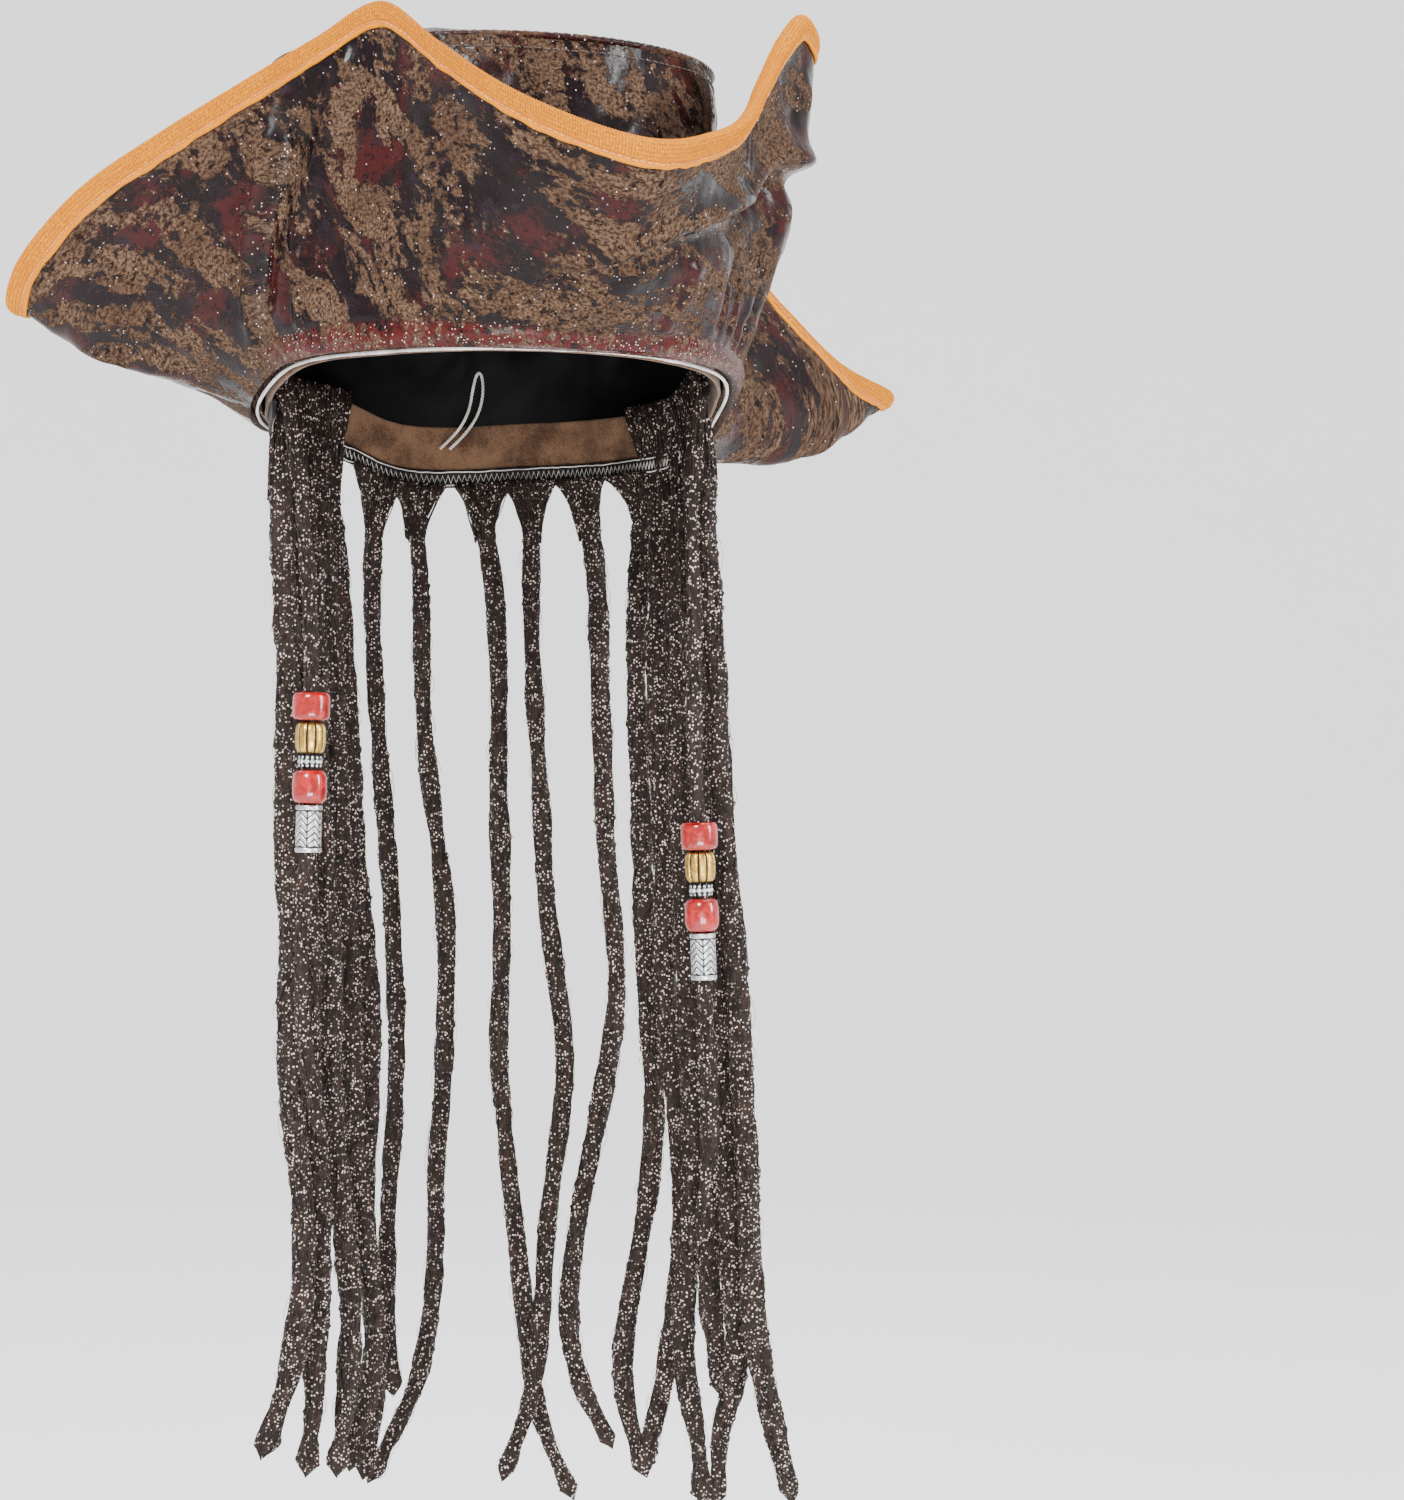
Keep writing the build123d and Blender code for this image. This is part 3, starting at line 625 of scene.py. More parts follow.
    def loose(number, steps):
        rise = np.sin(np.linspace(0, np.pi * 0.9, steps)) ** 1.4
        return -0.3 + rise[None] * dice.uniform(0.5, 0.13 * diameter + 1.2, number)[:, None]

    share = long / 390
    wound(int(330 * share), (10, 42), 3.2, buried, 0.18, 0.30, 12)
    if slim is None:
        wound(int(150 * share), (5, 22), 2.4, loose, 0.35, 0.075, 9)
    points, quads = joined(parts)
    made = piece(name + "_hair", points, quads, hair, "hair", body_of_lock[name])
    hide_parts(name)
    return made, line


def declare_cord(made, line, route, diameter, with_pieces=()):
    path = [tuple(p) for p in line * MM]
    length = float(np.linalg.norm(np.diff(line, axis=0), axis=1).sum()) * MM
    tuple(np.array(route[0]) * MM)
    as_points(path)
    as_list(with_pieces)


lock_ends = {}
for seed, (name, (diameter, route)) in enumerate({**rear_locks, **left_locks, **right_locks}.items()):
    made, line = lock_piece(name, diameter, route, 100 + 20 * seed)
    declare_cord(made, line, route, diameter)
    lock_ends[name] = (line, diameter)
bead_places = {
    "left": (np.array((-65.55, 14, -106.5)), unit(np.array((-1.5, 0, -68.0)))),
    "right": (np.array((75.1, -20, -155.0)), unit(np.array((2.5, 0, -68.0)))),
}

# ---------------------------------------------------------------- beads
bead_gap = 0.6
bead_bore = 3.1
bead_sizes = {
    "red_barrel_bead": (10.5, 7.0), "gold_melon_bead": (11.5, 5.75), "silver_spacer_ring": (5.0, 4.7),
    "red_round_bead": (12.5, 6.5), "silver_tube_bead": (17.5, 5.0),
}


def turned_bead(outline, around, relief=None):
    """Points, quads and recess of a body turned about its bore. outline gives (radius, height)."""
    radius, height = (np.array(v, float) for v in zip(*outline))
    angle = np.linspace(0, 2 * np.pi, around, endpoint=False)[:, None]
    r = np.broadcast_to(radius, (around, len(radius))).copy()
    recess = np.zeros_like(r)
    if relief is not None:
        depth, recess = relief(angle, radius[None], height[None])
        r -= depth
    points = np.stack([r * np.cos(angle), r * np.sin(angle), np.broadcast_to(height, r.shape)], -1)
    return points.reshape(-1, 3), grid(around, len(radius), True, True), recess.ravel()


def rounded_outline(half, radius, boxy, steps=40):
    """A rounded outline, squarer with a smaller boxy, closed through the bore."""
    sweep = np.linspace(-np.pi / 2, np.pi / 2, steps)
    r = bead_bore + (radius - bead_bore) * np.abs(np.cos(sweep)) ** boxy
    h = half * np.sign(np.sin(sweep)) * np.abs(np.sin(sweep)) ** boxy
    outer = list(zip(r, h))
    bore = [(bead_bore - 0.05, half * s) for s in np.linspace(0.93, -0.93, 8)]
    return outer + bore


def bead_shape(kind):
    height, radius = bead_sizes[kind]
    half = height / 2
    if kind == "red_barrel_bead":
        return turned_bead(rounded_outline(half, radius, 0.42), 64)
    if kind == "red_round_bead":
        return turned_bead(rounded_outline(half, radius, 0.62), 64)
    if kind == "gold_melon_bead":
        def lobes(angle, r, h):
            groove = np.exp(-((np.abs((angle * 10 / (2 * np.pi)) % 1 - 0.5) - 0.5) / 0.11) ** 2)
            outside = smooth(r, bead_bore + 0.1, bead_bore + 1.2)
            return groove * outside * 0.95, np.broadcast_to(groove * 1.15 * outside + (1 - outside) * 0.8,
                                                           (len(angle), r.shape[1])).copy()
        return turned_bead(rounded_outline(half, radius, 0.66), 140, lobes)
    if kind == "silver_spacer_ring":
        core = rounded_outline(half * 0.62, radius - 0.75, 0.6, 16)
        points, quads, recess = turned_bead(core, 48)
        parts, dark = [(points, quads)], [np.ones(len(points))]
        sweep = np.linspace(0, np.pi, 9)[1:-1]
        turn = np.linspace(0, 2 * np.pi, 14, endpoint=False)
        for row, (lift, size, number) in enumerate(((0.0, 1.12, 11), (1.55, 0.72, 13), (-1.55, 0.72, 13))):
            for i in range(number):
                way = 2 * np.pi * (i + 0.5 * (row > 0)) / number
                middle = np.array((math.cos(way), math.sin(way), 0)) * (radius - size - 0.25 * (row > 0))
                middle = middle + (0, 0, lift)
                wide, high = np.sin(sweep)[:, None], np.broadcast_to(np.cos(sweep)[:, None], (7, 14))
                ball = np.stack([wide * np.cos(turn), wide * np.sin(turn), high], -1) * size + middle
                rim_top, rim_foot = np.arange(14), 6 * 14 + np.arange(14)
                fans = [rim_top[[i, i + 1, 12 - i, 13 - i]] for i in range(6)]
                fans += [rim_foot[[13 - i, 12 - i, i + 1, i]] for i in range(6)]
                faces = np.concatenate([grid(7, 14, wrap_columns=True), fans])
                parts.append((ball, faces))
                far = np.linalg.norm(ball[..., :2], axis=-1)
                dark.append((1 - smooth(far, radius - size * 1.1, radius - size * 0.35)).ravel())
        points, quads = joined(parts)
        return points, quads, np.concatenate(dark)

    def chevrons(angle, r, h):
        outside = smooth(r, bead_bore + 0.4, bead_bore + 1.0)
        band = smooth(np.abs(h), half - 1.9, half - 1.6)
        zig = np.abs(((angle * 5 / (2 * np.pi)) % 1) - 0.5) * 2
        slope = (h + zig * 2.6) / 2.5
        cut = np.exp(-((np.abs(slope % 1 - 0.5)) / 0.14) ** 2)
        upright = np.exp(-((np.abs(((angle * 5 / (2 * np.pi)) % 1) - 0.5) - 0.5) / 0.035) ** 2)
        ring = np.exp(-((np.abs(h) - half + 2.05) / 0.22) ** 2)
        mark = np.clip(np.maximum(cut, upright) * (1 - band) + ring, 0, 1) * outside
        return mark * 0.34 + (1 - band) * 0.22 * outside, mark * 1.1 + (1 - outside) * 0.7

    walls = np.linspace(-half, half, 110)
    outline = [(bead_bore + 0.5, -half), (radius - 0.3, -half)]
    outline += [(radius - 0.22 * (abs(h) > half - 0.2), h) for h in walls]
    outline += [(radius - 0.3, half), (bead_bore + 0.5, half)]
    outline += [(bead_bore, half * s) for s in (0.97, 0.5, 0, -0.5, -0.97)]
    return turned_bead(outline, 150, chevrons)


bead_paints = {
    "red": (red_glass, "red_bead"), "gold": (brass, "gold_bead"), "silver": (silver, "silver_bead"),
}
bead_pieces = {"left": [], "right": []}
for side_name, (top, way) in bead_places.items():
    down = 0.0
    aside = unit(np.cross(way, (0.0, 1.0, 0.0)))
    front = np.cross(aside, way)
    turn = np.stack([aside, front, -way])
    for order, kind in enumerate(bead_kinds):
        height = bead_sizes[kind][0]
        points, quads, recess = bead_shape(kind)
        spin = 0.4 + order * 1.3
        c, s = math.cos(spin), math.sin(spin)
        points = points @ np.array([[c, s, 0], [-s, c, 0], [0, 0, 1]]) @ turn
        points = points + top + way * (down + height / 2)
        down += height + bead_gap
        node = f"{side_name}_{kind}"
        paint, slot_name = bead_paints[kind.split("_")[0]]
        bead = piece(node + "_shape", points, quads, paint, slot_name, node, values={"recess": recess})
        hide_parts(node)
        bead_pieces[side_name].append(bead)

for seed, (name, (diameter, route)) in enumerate(bead_locks.items()):
    side_name = name.split("_")[0]
    top, way = bead_places[side_name]
    line, reach = lock_line(route)
    heights = line[:, 2]
    strung = (heights < top[2] + 3) & (heights > top[2] - 62)
    low, high = reach[strung].min(), reach[strung].max()

    def slim(s, low=low, high=high):
        return 1 - smooth(s, low - 5, low) * (1 - smooth(s, high, high + 5)) * 0.85

    made, line = lock_piece(name, diameter, route, 700 + 30 * seed, slim)
    declare_cord(made, line, route, diameter, with_pieces=bead_pieces[side_name])

# ---------------------------------------------------------------- shape of the hat
rim_stations = [
    (0, 11), (40, 11), (70, 10), (95, 2), (125, -4), (155, -5), (175, -14),
    (205, -13), (235, -12), (262, -9), (282, 2), (305, 8), (330, 10),
]
brim_stations = [
    (0, 166, 70, 22, 58), (12, 150, 84, 34, 66), (25, 122, 108, 58, 70), (38, 105, 127, 74, 76),
    (52, 105, 117, 74, 70), (66, 117, 102, 66, 60), (78, 132, 88, 52, 52), (90, 154, 70, 36, 46),
    (99, 172, 49, 26, 34), (105, 177, 37, 22, 24), (112, 172, 43, 24, 34), (124, 156, 60, 34, 50),
    (140, 138, 74, 48, 62), (160, 124, 92, 60, 74), (180, 119, 98, 64, 78), (200, 124, 92, 60, 74),
    (220, 138, 74, 46, 62), (234, 162, 54, 24, 50), (244, 184, 34, 4, 44), (250, 195, 22, -6, 42),
    (254, 194, 18, -8, 46), (258, 158, 26, -4, 112), (262, 131, 39, 8, 126), (266, 109, 55, 26, 120),
    (270, 97, 76, 56, 100), (276, 95, 98, 72, 94), (283, 101, 114, 76, 92), (290, 110, 127, 76, 92),
    (296, 117, 132, 74, 90), (302, 121, 134, 72, 84), (308, 120, 137, 78, 78), (319, 118, 118, 70, 70),
    (333, 128, 92, 52, 66), (347, 146, 78, 34, 62),
]


def between(stations, angle, column):
    """A smooth closed curve through one column of a table of stations."""
    table = np.array(stations, float)
    angle = np.asarray(angle, float) % 360
    count = len(table)
    here = np.searchsorted(table[:, 0], angle, side="right") - 1

    def knot(step):
        turns, spot = np.divmod(here + step, count)
        return table[spot, 0] + 360 * turns, table[spot, column]

    (a0, v0), (a1, v1), (a2, v2), (a3, v3) = (knot(k) for k in (-1, 0, 1, 2))
    span = a2 - a1
    slope1, slope2 = (v2 - v0) / (a2 - a0) * span, (v3 - v1) / (a3 - a1) * span
    t = (angle - a1) / span
    return ((2 * t**3 - 3 * t**2 + 1) * v1 + (t**3 - 2 * t**2 + t) * slope1
            + (3 * t**2 - 2 * t**3) * v2 + (t**3 - t**2) * slope2)


opening_half_width, opening_half_length = 86.0, 98.0
crown_half_width, crown_half_length = 81.0, 91.0
crown_height, crown_rise_back = 124.0, 4.0


def oval(angle, half_width, half_length):
    turn = np.radians(angle)
    return 1 / np.hypot(np.sin(turn) / half_width, np.cos(turn) / half_length)


def rim_radius(angle):
    return oval(angle, opening_half_width, opening_half_length)


def rim_height(angle):
    return between(rim_stations, angle, 1)


def at(angle, radius, height):
    turn = np.radians(angle)
    angle, radius, height, turn = np.broadcast_arrays(angle, radius, height, turn)
    return np.stack([-radius * np.sin(turn), -radius * np.cos(turn), height], -1)


def brim_middle(angle, t):
    """Radius, height, normal and length of the brim's middle surface."""
    base = rim_radius(angle) + 2.6, rim_height(angle)
    edge = between(brim_stations, angle, 1), between(brim_stations, angle, 2)
    reach = np.hypot(edge[0] - base[0], edge[1] - base[1]) / 3
    start = np.radians(between(brim_stations, angle, 3))
    end = np.radians(between(brim_stations, angle, 4))
    p1 = base[0] + reach * np.cos(start), base[1] + reach * np.sin(start)
    p2 = edge[0] - reach * np.cos(end), edge[1] - reach * np.sin(end)
    s = 1 - t
    spot = [s**3 * base[i] + 3 * s * s * t * p1[i] + 3 * s * t * t * p2[i] + t**3 * edge[i]
            for i in (0, 1)]
    way = [s * s * (p1[i] - base[i]) + 2 * s * t * (p2[i] - p1[i]) + t * t * (edge[i] - p2[i])
           for i in (0, 1)]
    size = np.hypot(*way)
    return spot, (way[1] / size, -way[0] / size), reach * 3


# Folds of the brim, as lines of (angle, share of the way from opening to edge), with a width
# and how far the cloth stands out along the line and steps out above it.
brim_folds = [
    ([(45, 0.97), (47.3, 0.83), (50.3, 0.73), (54.8, 0.6), (59.3, 0.48), (62, 0.3)], 5.0, 2.6, 0.0),
    ([(59, 0.9), (60.8, 0.78), (61.5, 0.68), (66, 0.55), (69, 0.42), (72, 0.27), (76, 0.12), (75, 0.02)],
     2.4, -3.0, 1.2),
    ([(63, 0.85), (65, 0.68), (70, 0.5), (73, 0.35), (76, 0.2)], 3.0, 1.8, 0.0),
    ([(60, 0.42), (60.8, 0.23), (62.3, 0.07)], 2.2, 1.3, 0.0),
    ([(-76, 0.72), (-70.5, 0.68), (-52, 0.60), (-35.3, 0.55), (-16.5, 0.59), (-3.8, 0.55), (6.8, 0.38),
      (10.5, 0.23)], 2.6, -2.4, 4.6),
    ([(-57, 0.28), (-50.2, 0.13), (-50, 0.02)], 2.4, -3.0, 2.0),
    ([(-19.5, 0.48), (-19.5, 0.32), (-17.2, 0.2), (-17.2, 0.08)], 4.0, 2.2, 0.0),
    ([(-40, 0.42), (-35, 0.28), (-36, 0.10)], 3.0, -2.2, 0.0),
    ([(-46, 0.36), (-43, 0.24), (-42, 0.08)], 3.0, 1.8, 0.0),
    ([(102.8, 0.95), (106.5, 0.77), (104, 0.52), (101, 0.28), (102, 0.08)], 5.0, 2.4, 0.0),
    ([(112, 0.8), (113, 0.55), (110, 0.25)], 4.0, -1.8, 0.0),
    ([(245, 0.85), (248, 0.6), (246, 0.3), (240, 0.1)], 5.0, 2.2, 0.0),
    ([(262, 0.8), (264, 0.5), (262, 0.2)], 4.0, -2.0, 0.0),
    ([(276, 0.75), (283, 0.5), (286, 0.25), (284, 0.05)], 3.4, 2.0, 0.0),
    ([(150, 0.9), (156, 0.55), (160, 0.2)], 5.0, 1.6, 0.0),
    ([(206, 0.9), (202, 0.5), (204, 0.15)], 5.0, 1.6, 0.0),
    ([(20, 0.35), (26, 0.5), (30, 0.72)], 6.0, 1.4, 0.0),
]
mm_per_degree = 2.05


def fold(x, y, line, width, height, step):
    """How far the cloth is displaced by a fold along a line of (x, y)."""
    nearest = np.full(x.shape, 1e9)
    signed = np.zeros(x.shape)
    share = np.zeros(x.shape)
    reach = np.concatenate([[0], np.cumsum(np.linalg.norm(np.diff(line, axis=0), axis=1))])
    for i, (a, b) in enumerate(zip(line, line[1:])):
        way = b - a
        size = np.hypot(*way)
        s = np.clip(((x - a[0]) * way[0] + (y - a[1]) * way[1]) / size**2, 0, 1)
        dx, dy = x - a[0] - s * way[0], y - a[1] - s * way[1]
        far = np.hypot(dx, dy)
        closer = far < nearest
        nearest = np.where(closer, far, nearest)
        signed = np.where(closer, (way[0] * dy - way[1] * dx) / size, signed)
        share = np.where(closer, (reach[i] + s * size) / reach[-1], share)
    taper = smooth(share, 0, 0.18) * (1 - smooth(share, 0.82, 1))
    crest = np.exp(-((nearest / width) ** 2)) * height
    ledge = signed / width * np.exp(-((nearest / (2.6 * width)) ** 2)) * step
    return (crest + ledge) * (0.15 + 0.85 * taper)


def folds_near(x):
    """The folds, each with the distances around the head counted from its own middle."""
    for line, width, height, step in brim_folds:
        drawn = np.array(line, float)
        size = brim_middle(drawn[:, 0], 1.0)[2]
        drawn = np.stack([drawn[:, 0] * mm_per_degree, drawn[:, 1] * size], 1)
        middle = drawn[:, 0].mean()
        there = middle + (x - middle + 180 * mm_per_degree) % (360 * mm_per_degree) - 180 * mm_per_degree
        yield there, drawn, width, height, step


def brim_lift(angle, t, length):
    """How far the real, soft brim stands off its plain surface."""
    x, y = np.broadcast_arrays(angle * mm_per_degree, t * length)
    lift = np.zeros(x.shape)
    for there, drawn, width, height, step in folds_near(x):
        lift += fold(there, y, drawn, width, height, step)
    spot = at(angle, rim_radius(angle) + y * 0.7, y)
    lift += 1.5 * waves(spot, 74, 11) + 0.55 * waves(spot, 26, 12) + 0.16 * waves(spot, 9, 13)
    edge = 1 - 0.65 * smooth(t, 0.86, 0.98)
    return lift * smooth(y, 1.5, 16) * edge


def creases(angle, y):
    """1 along the sharp creases of the brim, falling to 0 beside them."""
    x, y = np.broadcast_arrays(angle * mm_per_degree, y)
    share = np.zeros(x.shape)
    for there, drawn, width, height, step in folds_near(x):
        if height <= -2.4:
            share = np.maximum(share, fold(there, y + 2.0, drawn, 3.0, 1.0, 0.0))
    return np.clip(share, 0, 1)


def brim_face(angle, t, offset, beyond=0.0):
    """A point of the soft brim at an offset from its middle, or past its edge."""
    spot, normal, length = brim_middle(angle, t)
    out = brim_lift(angle, t, length) + offset
    return at(angle, spot[0] + normal[0] * out - normal[1] * beyond,
              spot[1] + normal[1] * out + normal[0] * beyond)


# ---------------------------------------------------------------- brim
angles = np.arange(-180, 180, 0.4)[:, None]
across = np.linspace(0, 1, 96)[None, :]
length = brim_middle(angles, 1.0)[2]
y = across * length
roll = 1.5 * np.exp(-(((y - 4.2) / 2.6) ** 2)) - 0.7 * np.exp(-(((y - 9.0) / 1.3) ** 2))
front = 1 - smooth(np.abs(angles), 62, 84)
outer = brim_face(angles, across, 1.8 + roll * front)
inner = brim_face(angles, across, -1.8)[:, ::-1]
points = np.concatenate([outer, inner], 1)
rows, columns = points.shape[:2]
u = np.broadcast_to(angles * mm_per_degree, y.shape) * MM
uv = np.stack([u, y * MM], -1)
uv = np.concatenate([uv, uv[:, ::-1] + (0.0, 0.31)], 1)
quads = grid(rows, columns, True, True)
corners = uv.reshape(-1, 2)[quads]
corners[-columns:, 2:, 0] += 360 * mm_per_degree * MM
steepness = smooth(angles, -4, 42) + (1 - smooth(angles, -150, -110))
steep = np.broadcast_to(np.clip(steepness, 0, 1), (rows, columns))
# The rolled and crease shares also thicken the leather's painted highlight specks and its gloss; the crease
# share lies 2 mm towards the opening from each sharp crease.
rolled = front * (1 - smooth(y, 7.5, 10.5)) * smooth(y, -1, 0.6)
rolled = np.concatenate([rolled, np.zeros_like(rolled)], 1)
crease = np.concatenate([creases(angles, y), np.zeros(y.shape)], 1)
brim = piece("brim_cloth", points, quads, leather, "distressed_leather", uv=corners,
             values={"steep": steep, "rolled": rolled, "crease": crease})
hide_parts("brim_under_cloth", "brim_stiffener", "brim_upper_cloth")

wire_angle = np.arange(-180, 180, 0.75)[:, None]
section = np.linspace(0, 2 * np.pi, 10, endpoint=False)[None, :]
edge_length = brim_middle(wire_angle, 1.0)[2]
wire_t = 1 - (1.6 + 0.6 * np.cos(section)) / edge_length
points = brim_face(wire_angle, wire_t, 0.6 * np.sin(section))
wire_paint = metal_material("brim_wire", tone(150, 150, 152), tone(110, 110, 114), tone(60, 60, 60))
wire = piece("brim_wire_ring", points, grid(len(wire_angle), 10, True, True), wire_paint, "brim_wire")
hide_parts("brim_wire")

# ---------------------------------------------------------------- knitted edge binding
tape_side = [
    (7.4, 1.9), (7.3, 2.6), (6.9, 3.05), (6.4, 3.2), (5.8, 3.05), (5.3, 2.7), (4.8, 3.05), (4.2, 3.3),
    (3.4, 3.4), (2.6, 3.35), (1.8, 3.25), (0.9, 3.1), (0.2, 2.85), (-0.5, 2.4), (-1.1, 1.75), (-1.5, 0.9),
]
tape_groove = 5.3
binding_outline = tape_side + [(-1.6, 0.0)] + [(x, -y) for x, y in reversed(tape_side)] + [
    (4.0, -1.95), (0.3, -1.9), (0.3, 1.9), (4.0, 1.95),
]
binding_angle = np.arange(-180, 180, 0.045)[:, None]
from_edge, offset = (np.array(v)[None, :] for v in zip(*binding_outline))
edge_length = brim_middle(binding_angle, 1.0)[2]
t = 1 - np.maximum(from_edge, 0) / edge_length
beyond = np.maximum(-from_edge, 0)
edge_line = brim_face(binding_angle, np.ones_like(binding_angle), 0.0)[:, 0]
steps = np.linalg.norm(np.diff(np.concatenate([edge_line, edge_line[:1]]), axis=0), axis=1)
run = np.concatenate([[0], np.cumsum(steps)])
perimeter = run[-1]
along = run[:-1, None]
skin = (np.abs(offset) > 2.0) | (from_edge < 0)
rib = np.sin(along * 2 * np.pi / 1.1) * 0.13 * skin * smooth(tape_groove - 0.2 - from_edge, 0, 0.8)
pull = 0.28 * waves(edge_line, 11, 31)[:, None] * smooth(from_edge, 3, 7)
t_soft = 1 - np.maximum(from_edge + pull, 0) / edge_length
outward = np.where(from_edge > 0, np.sign(offset), offset / 2.6)
points = brim_face(binding_angle, np.minimum(t_soft, 1), offset + rib * outward,
                   beyond + rib * (from_edge <= 0))
rows, columns = points.shape[:2]
width = np.concatenate([[0], np.cumsum(np.hypot(np.diff(from_edge[0]), np.diff(offset[0])))])
uv = np.stack(np.broadcast_arrays(along * MM, width[None, :] * MM), -1)
quads = grid(rows, columns, True, True)
corners = uv.reshape(-1, 2)[quads]
corners[-columns:, 2:, 0] += perimeter * MM
ribbed = np.broadcast_to(smooth(tape_groove - from_edge, 0, 0.8) * skin, (rows, columns))
# Painted shade: the worn share darkens the tape along its stitched groove, where shade falls; it is not
# wear.
worn = np.broadcast_to(np.exp(-(((from_edge - tape_groove) / 0.6) ** 2)) * 0.7, (rows, columns))
binding = piece("edge_binding_knit", points, quads, knit, "binding_knit", uv=corners,
                values={"ribbed": ribbed, "worn": worn})
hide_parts("edge_binding")


def stitches(name, line_of, total, pitch, gap, radius, lift, paint, slot_name, jitter=0.1):
    """A row of short thread stitches. line_of gives points and outward normals at distances."""
    dice = np.random.default_rng(len(name))
    count = int(total / pitch)
    start = np.arange(count) * total / count
    s = start[:, None] + np.linspace(0, pitch - gap, 5)[None, :]
    spot, normal = line_of(s)
    arch = np.sin(np.linspace(0, np.pi, 5))[None, :, None] * lift - 0.08
    shake = dice.normal(size=(count, 1, 3)) * jitter
    points, quads = threads(spot + normal * arch + shake, radius)
    return piece(name, points, quads, paint, slot_name)


def on_binding(side):
    def line_of(s):
        angle = np.interp(s % perimeter, run, np.concatenate([binding_angle[:, 0], [180]]))
        size = brim_middle(angle, 1.0)[2]
        spot = brim_face(angle, 1 - tape_groove / size, side * 2.95)
        out = brim_face(angle, 1 - tape_groove / size, side * 3.95) - spot
        return spot, unit(out)
    return line_of


for side_name, side in (("outer", 1), ("inner", -1)):
    stitches(f"binding_stitches_{side_name}", on_binding(side), perimeter, 2.6, 0.7, 0.24, 0.35,
             gold_thread, "thread")

# ---------------------------------------------------------------- crown
def crown_edge(angle):
    height = crown_height - crown_rise_back * np.cos(np.radians(angle))
    return oval(angle, crown_half_width, crown_half_length), height


def crown_wall(angle, t, offset):
    """The crown's side, t from 0 at the opening to 1 at its top edge."""
    radius, top = crown_edge(angle)
    rim = rim_height(angle)
    r = rim_radius(angle) * (1 - t) + radius * t + 3.0 * 4 * t**2 * (1 - t)
    z = rim + (top - rim) * t
    spot = at(angle, r, z)
    soft = 2.1 * waves(spot, 66, 21) + 0.7 * waves(spot, 24, 22) + 0.15 * waves(spot, 8, 23)
    soft = soft * smooth(t, 0.04, 0.3) * (1 - 0.55 * smooth(t, 0.85, 1))
    return at(angle, r + soft + offset, z)


crown_angle = np.arange(-180, 180, 0.6)[:, None]
up = np.linspace(0.005, 1, 90)[None, :]
outside = crown_wall(crown_angle, up, 0.0)
seam = -1.1 * np.exp(-(((180 - np.abs(crown_angle)) / 0.55) ** 2))
outside = outside + at(crown_angle, seam, 0.0) * (1, 1, 0)
inside = crown_wall(crown_angle, up, -1.2)[:, ::-1]
points = np.concatenate([outside, inside], 1)
rows, columns = points.shape[:2]
u = np.broadcast_to(crown_angle * 1.6 * MM, (rows, 90))
v = np.broadcast_to(up * 0.115 + 0.52, (rows, 90))
uv = np.stack([u, v], -1)
uv = np.concatenate([uv, uv[:, ::-1]], 1)
quads = grid(rows, columns, True, True)
corners = uv.reshape(-1, 2)[quads]
corners[-columns:, 2:, 0] += 360 * 1.6 * MM
steep = np.full((rows, columns), 0.75)
side = piece("crown_side_cloth", points, quads, leather, "distressed_leather", uv=corners,
             values={"steep": steep, "rolled": steep * 0})
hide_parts("crown_side_band")


def disc(size):
    """A square grid of shares (-1 to 1) drawn out to fill a round disc."""
    a = np.linspace(-1, 1, size)
    x, y = np.meshgrid(a, a, indexing="ij")
    return x * np.sqrt(1 - y * y / 2), y * np.sqrt(1 - x * x / 2)


def disc_shell(size, place_top, place_foot):
    """Points and quads of a closed plate between two surfaces over the same disc."""
    top, foot = place_top(*disc(size)), place_foot(*disc(size))
    plate = grid(size, size)
    index = np.arange(size * size).reshape(size, size)
    loop = np.concatenate([index[0, :-1], index[:-1, -1], index[-1, :0:-1], index[:0:-1, 0]])
    wall = np.stack([loop, np.roll(loop, -1), np.roll(loop, -1) + size**2, loop + size**2], 1)
    quads = np.concatenate([plate[:, ::-1], plate + size**2, wall[:, ::-1]])
    return np.concatenate([top.reshape(-1, 3), foot.reshape(-1, 3)]), quads


def crown_top_at(inset, drop):
    def place(x, y):
        far = np.hypot(x, y)
        width, long = crown_half_width - inset, crown_half_length - inset
        flat = np.stack([x * width, y * long, np.zeros_like(x)], -1)
        tilt = crown_height + crown_rise_back * y
        shoulder = 4.2 * (1 - np.clip(far, 0, 1) ** 14) - 0.4
        slump = -4.5 * np.exp(-(((flat[..., 0] - 18) / 48) ** 2) - ((flat[..., 1] + 22) / 50) ** 2)
        slump += 1.9 * waves(flat, 62, 41) + 0.5 * waves(flat, 22, 42)
        slump *= 1 - smooth(far, 0.8, 0.985)
        flat[..., 2] = tilt + shoulder + slump - drop
        return flat
    return place


points, quads = disc_shell(150, crown_top_at(0.2, 0.0), crown_top_at(0.2, 1.2))
uv = points[:, :2] * MM + (0.9, 0.2)
top = piece("crown_top_cloth", points, quads, leather, "distressed_leather", uv=uv,
            values={"steep": np.full(len(points), 0.3), "rolled": np.zeros(len(points))})
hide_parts("crown_top_panel")

seam_angle = np.arange(-180, 180, 0.5)[:, None]
section = np.linspace(0, 2 * np.pi, 14, endpoint=False)[None, :]
radius, height = crown_edge(seam_angle)
welt = 1.25 + 0.12 * np.sin(np.radians(seam_angle) * 160)
points = at(seam_angle, radius - 0.3 + welt * np.cos(section), height - 0.2 + welt * np.sin(section))
uv = np.stack(np.broadcast_arrays(seam_angle * 1.6 * MM, section * 0.001 + 0.75), -1).copy()
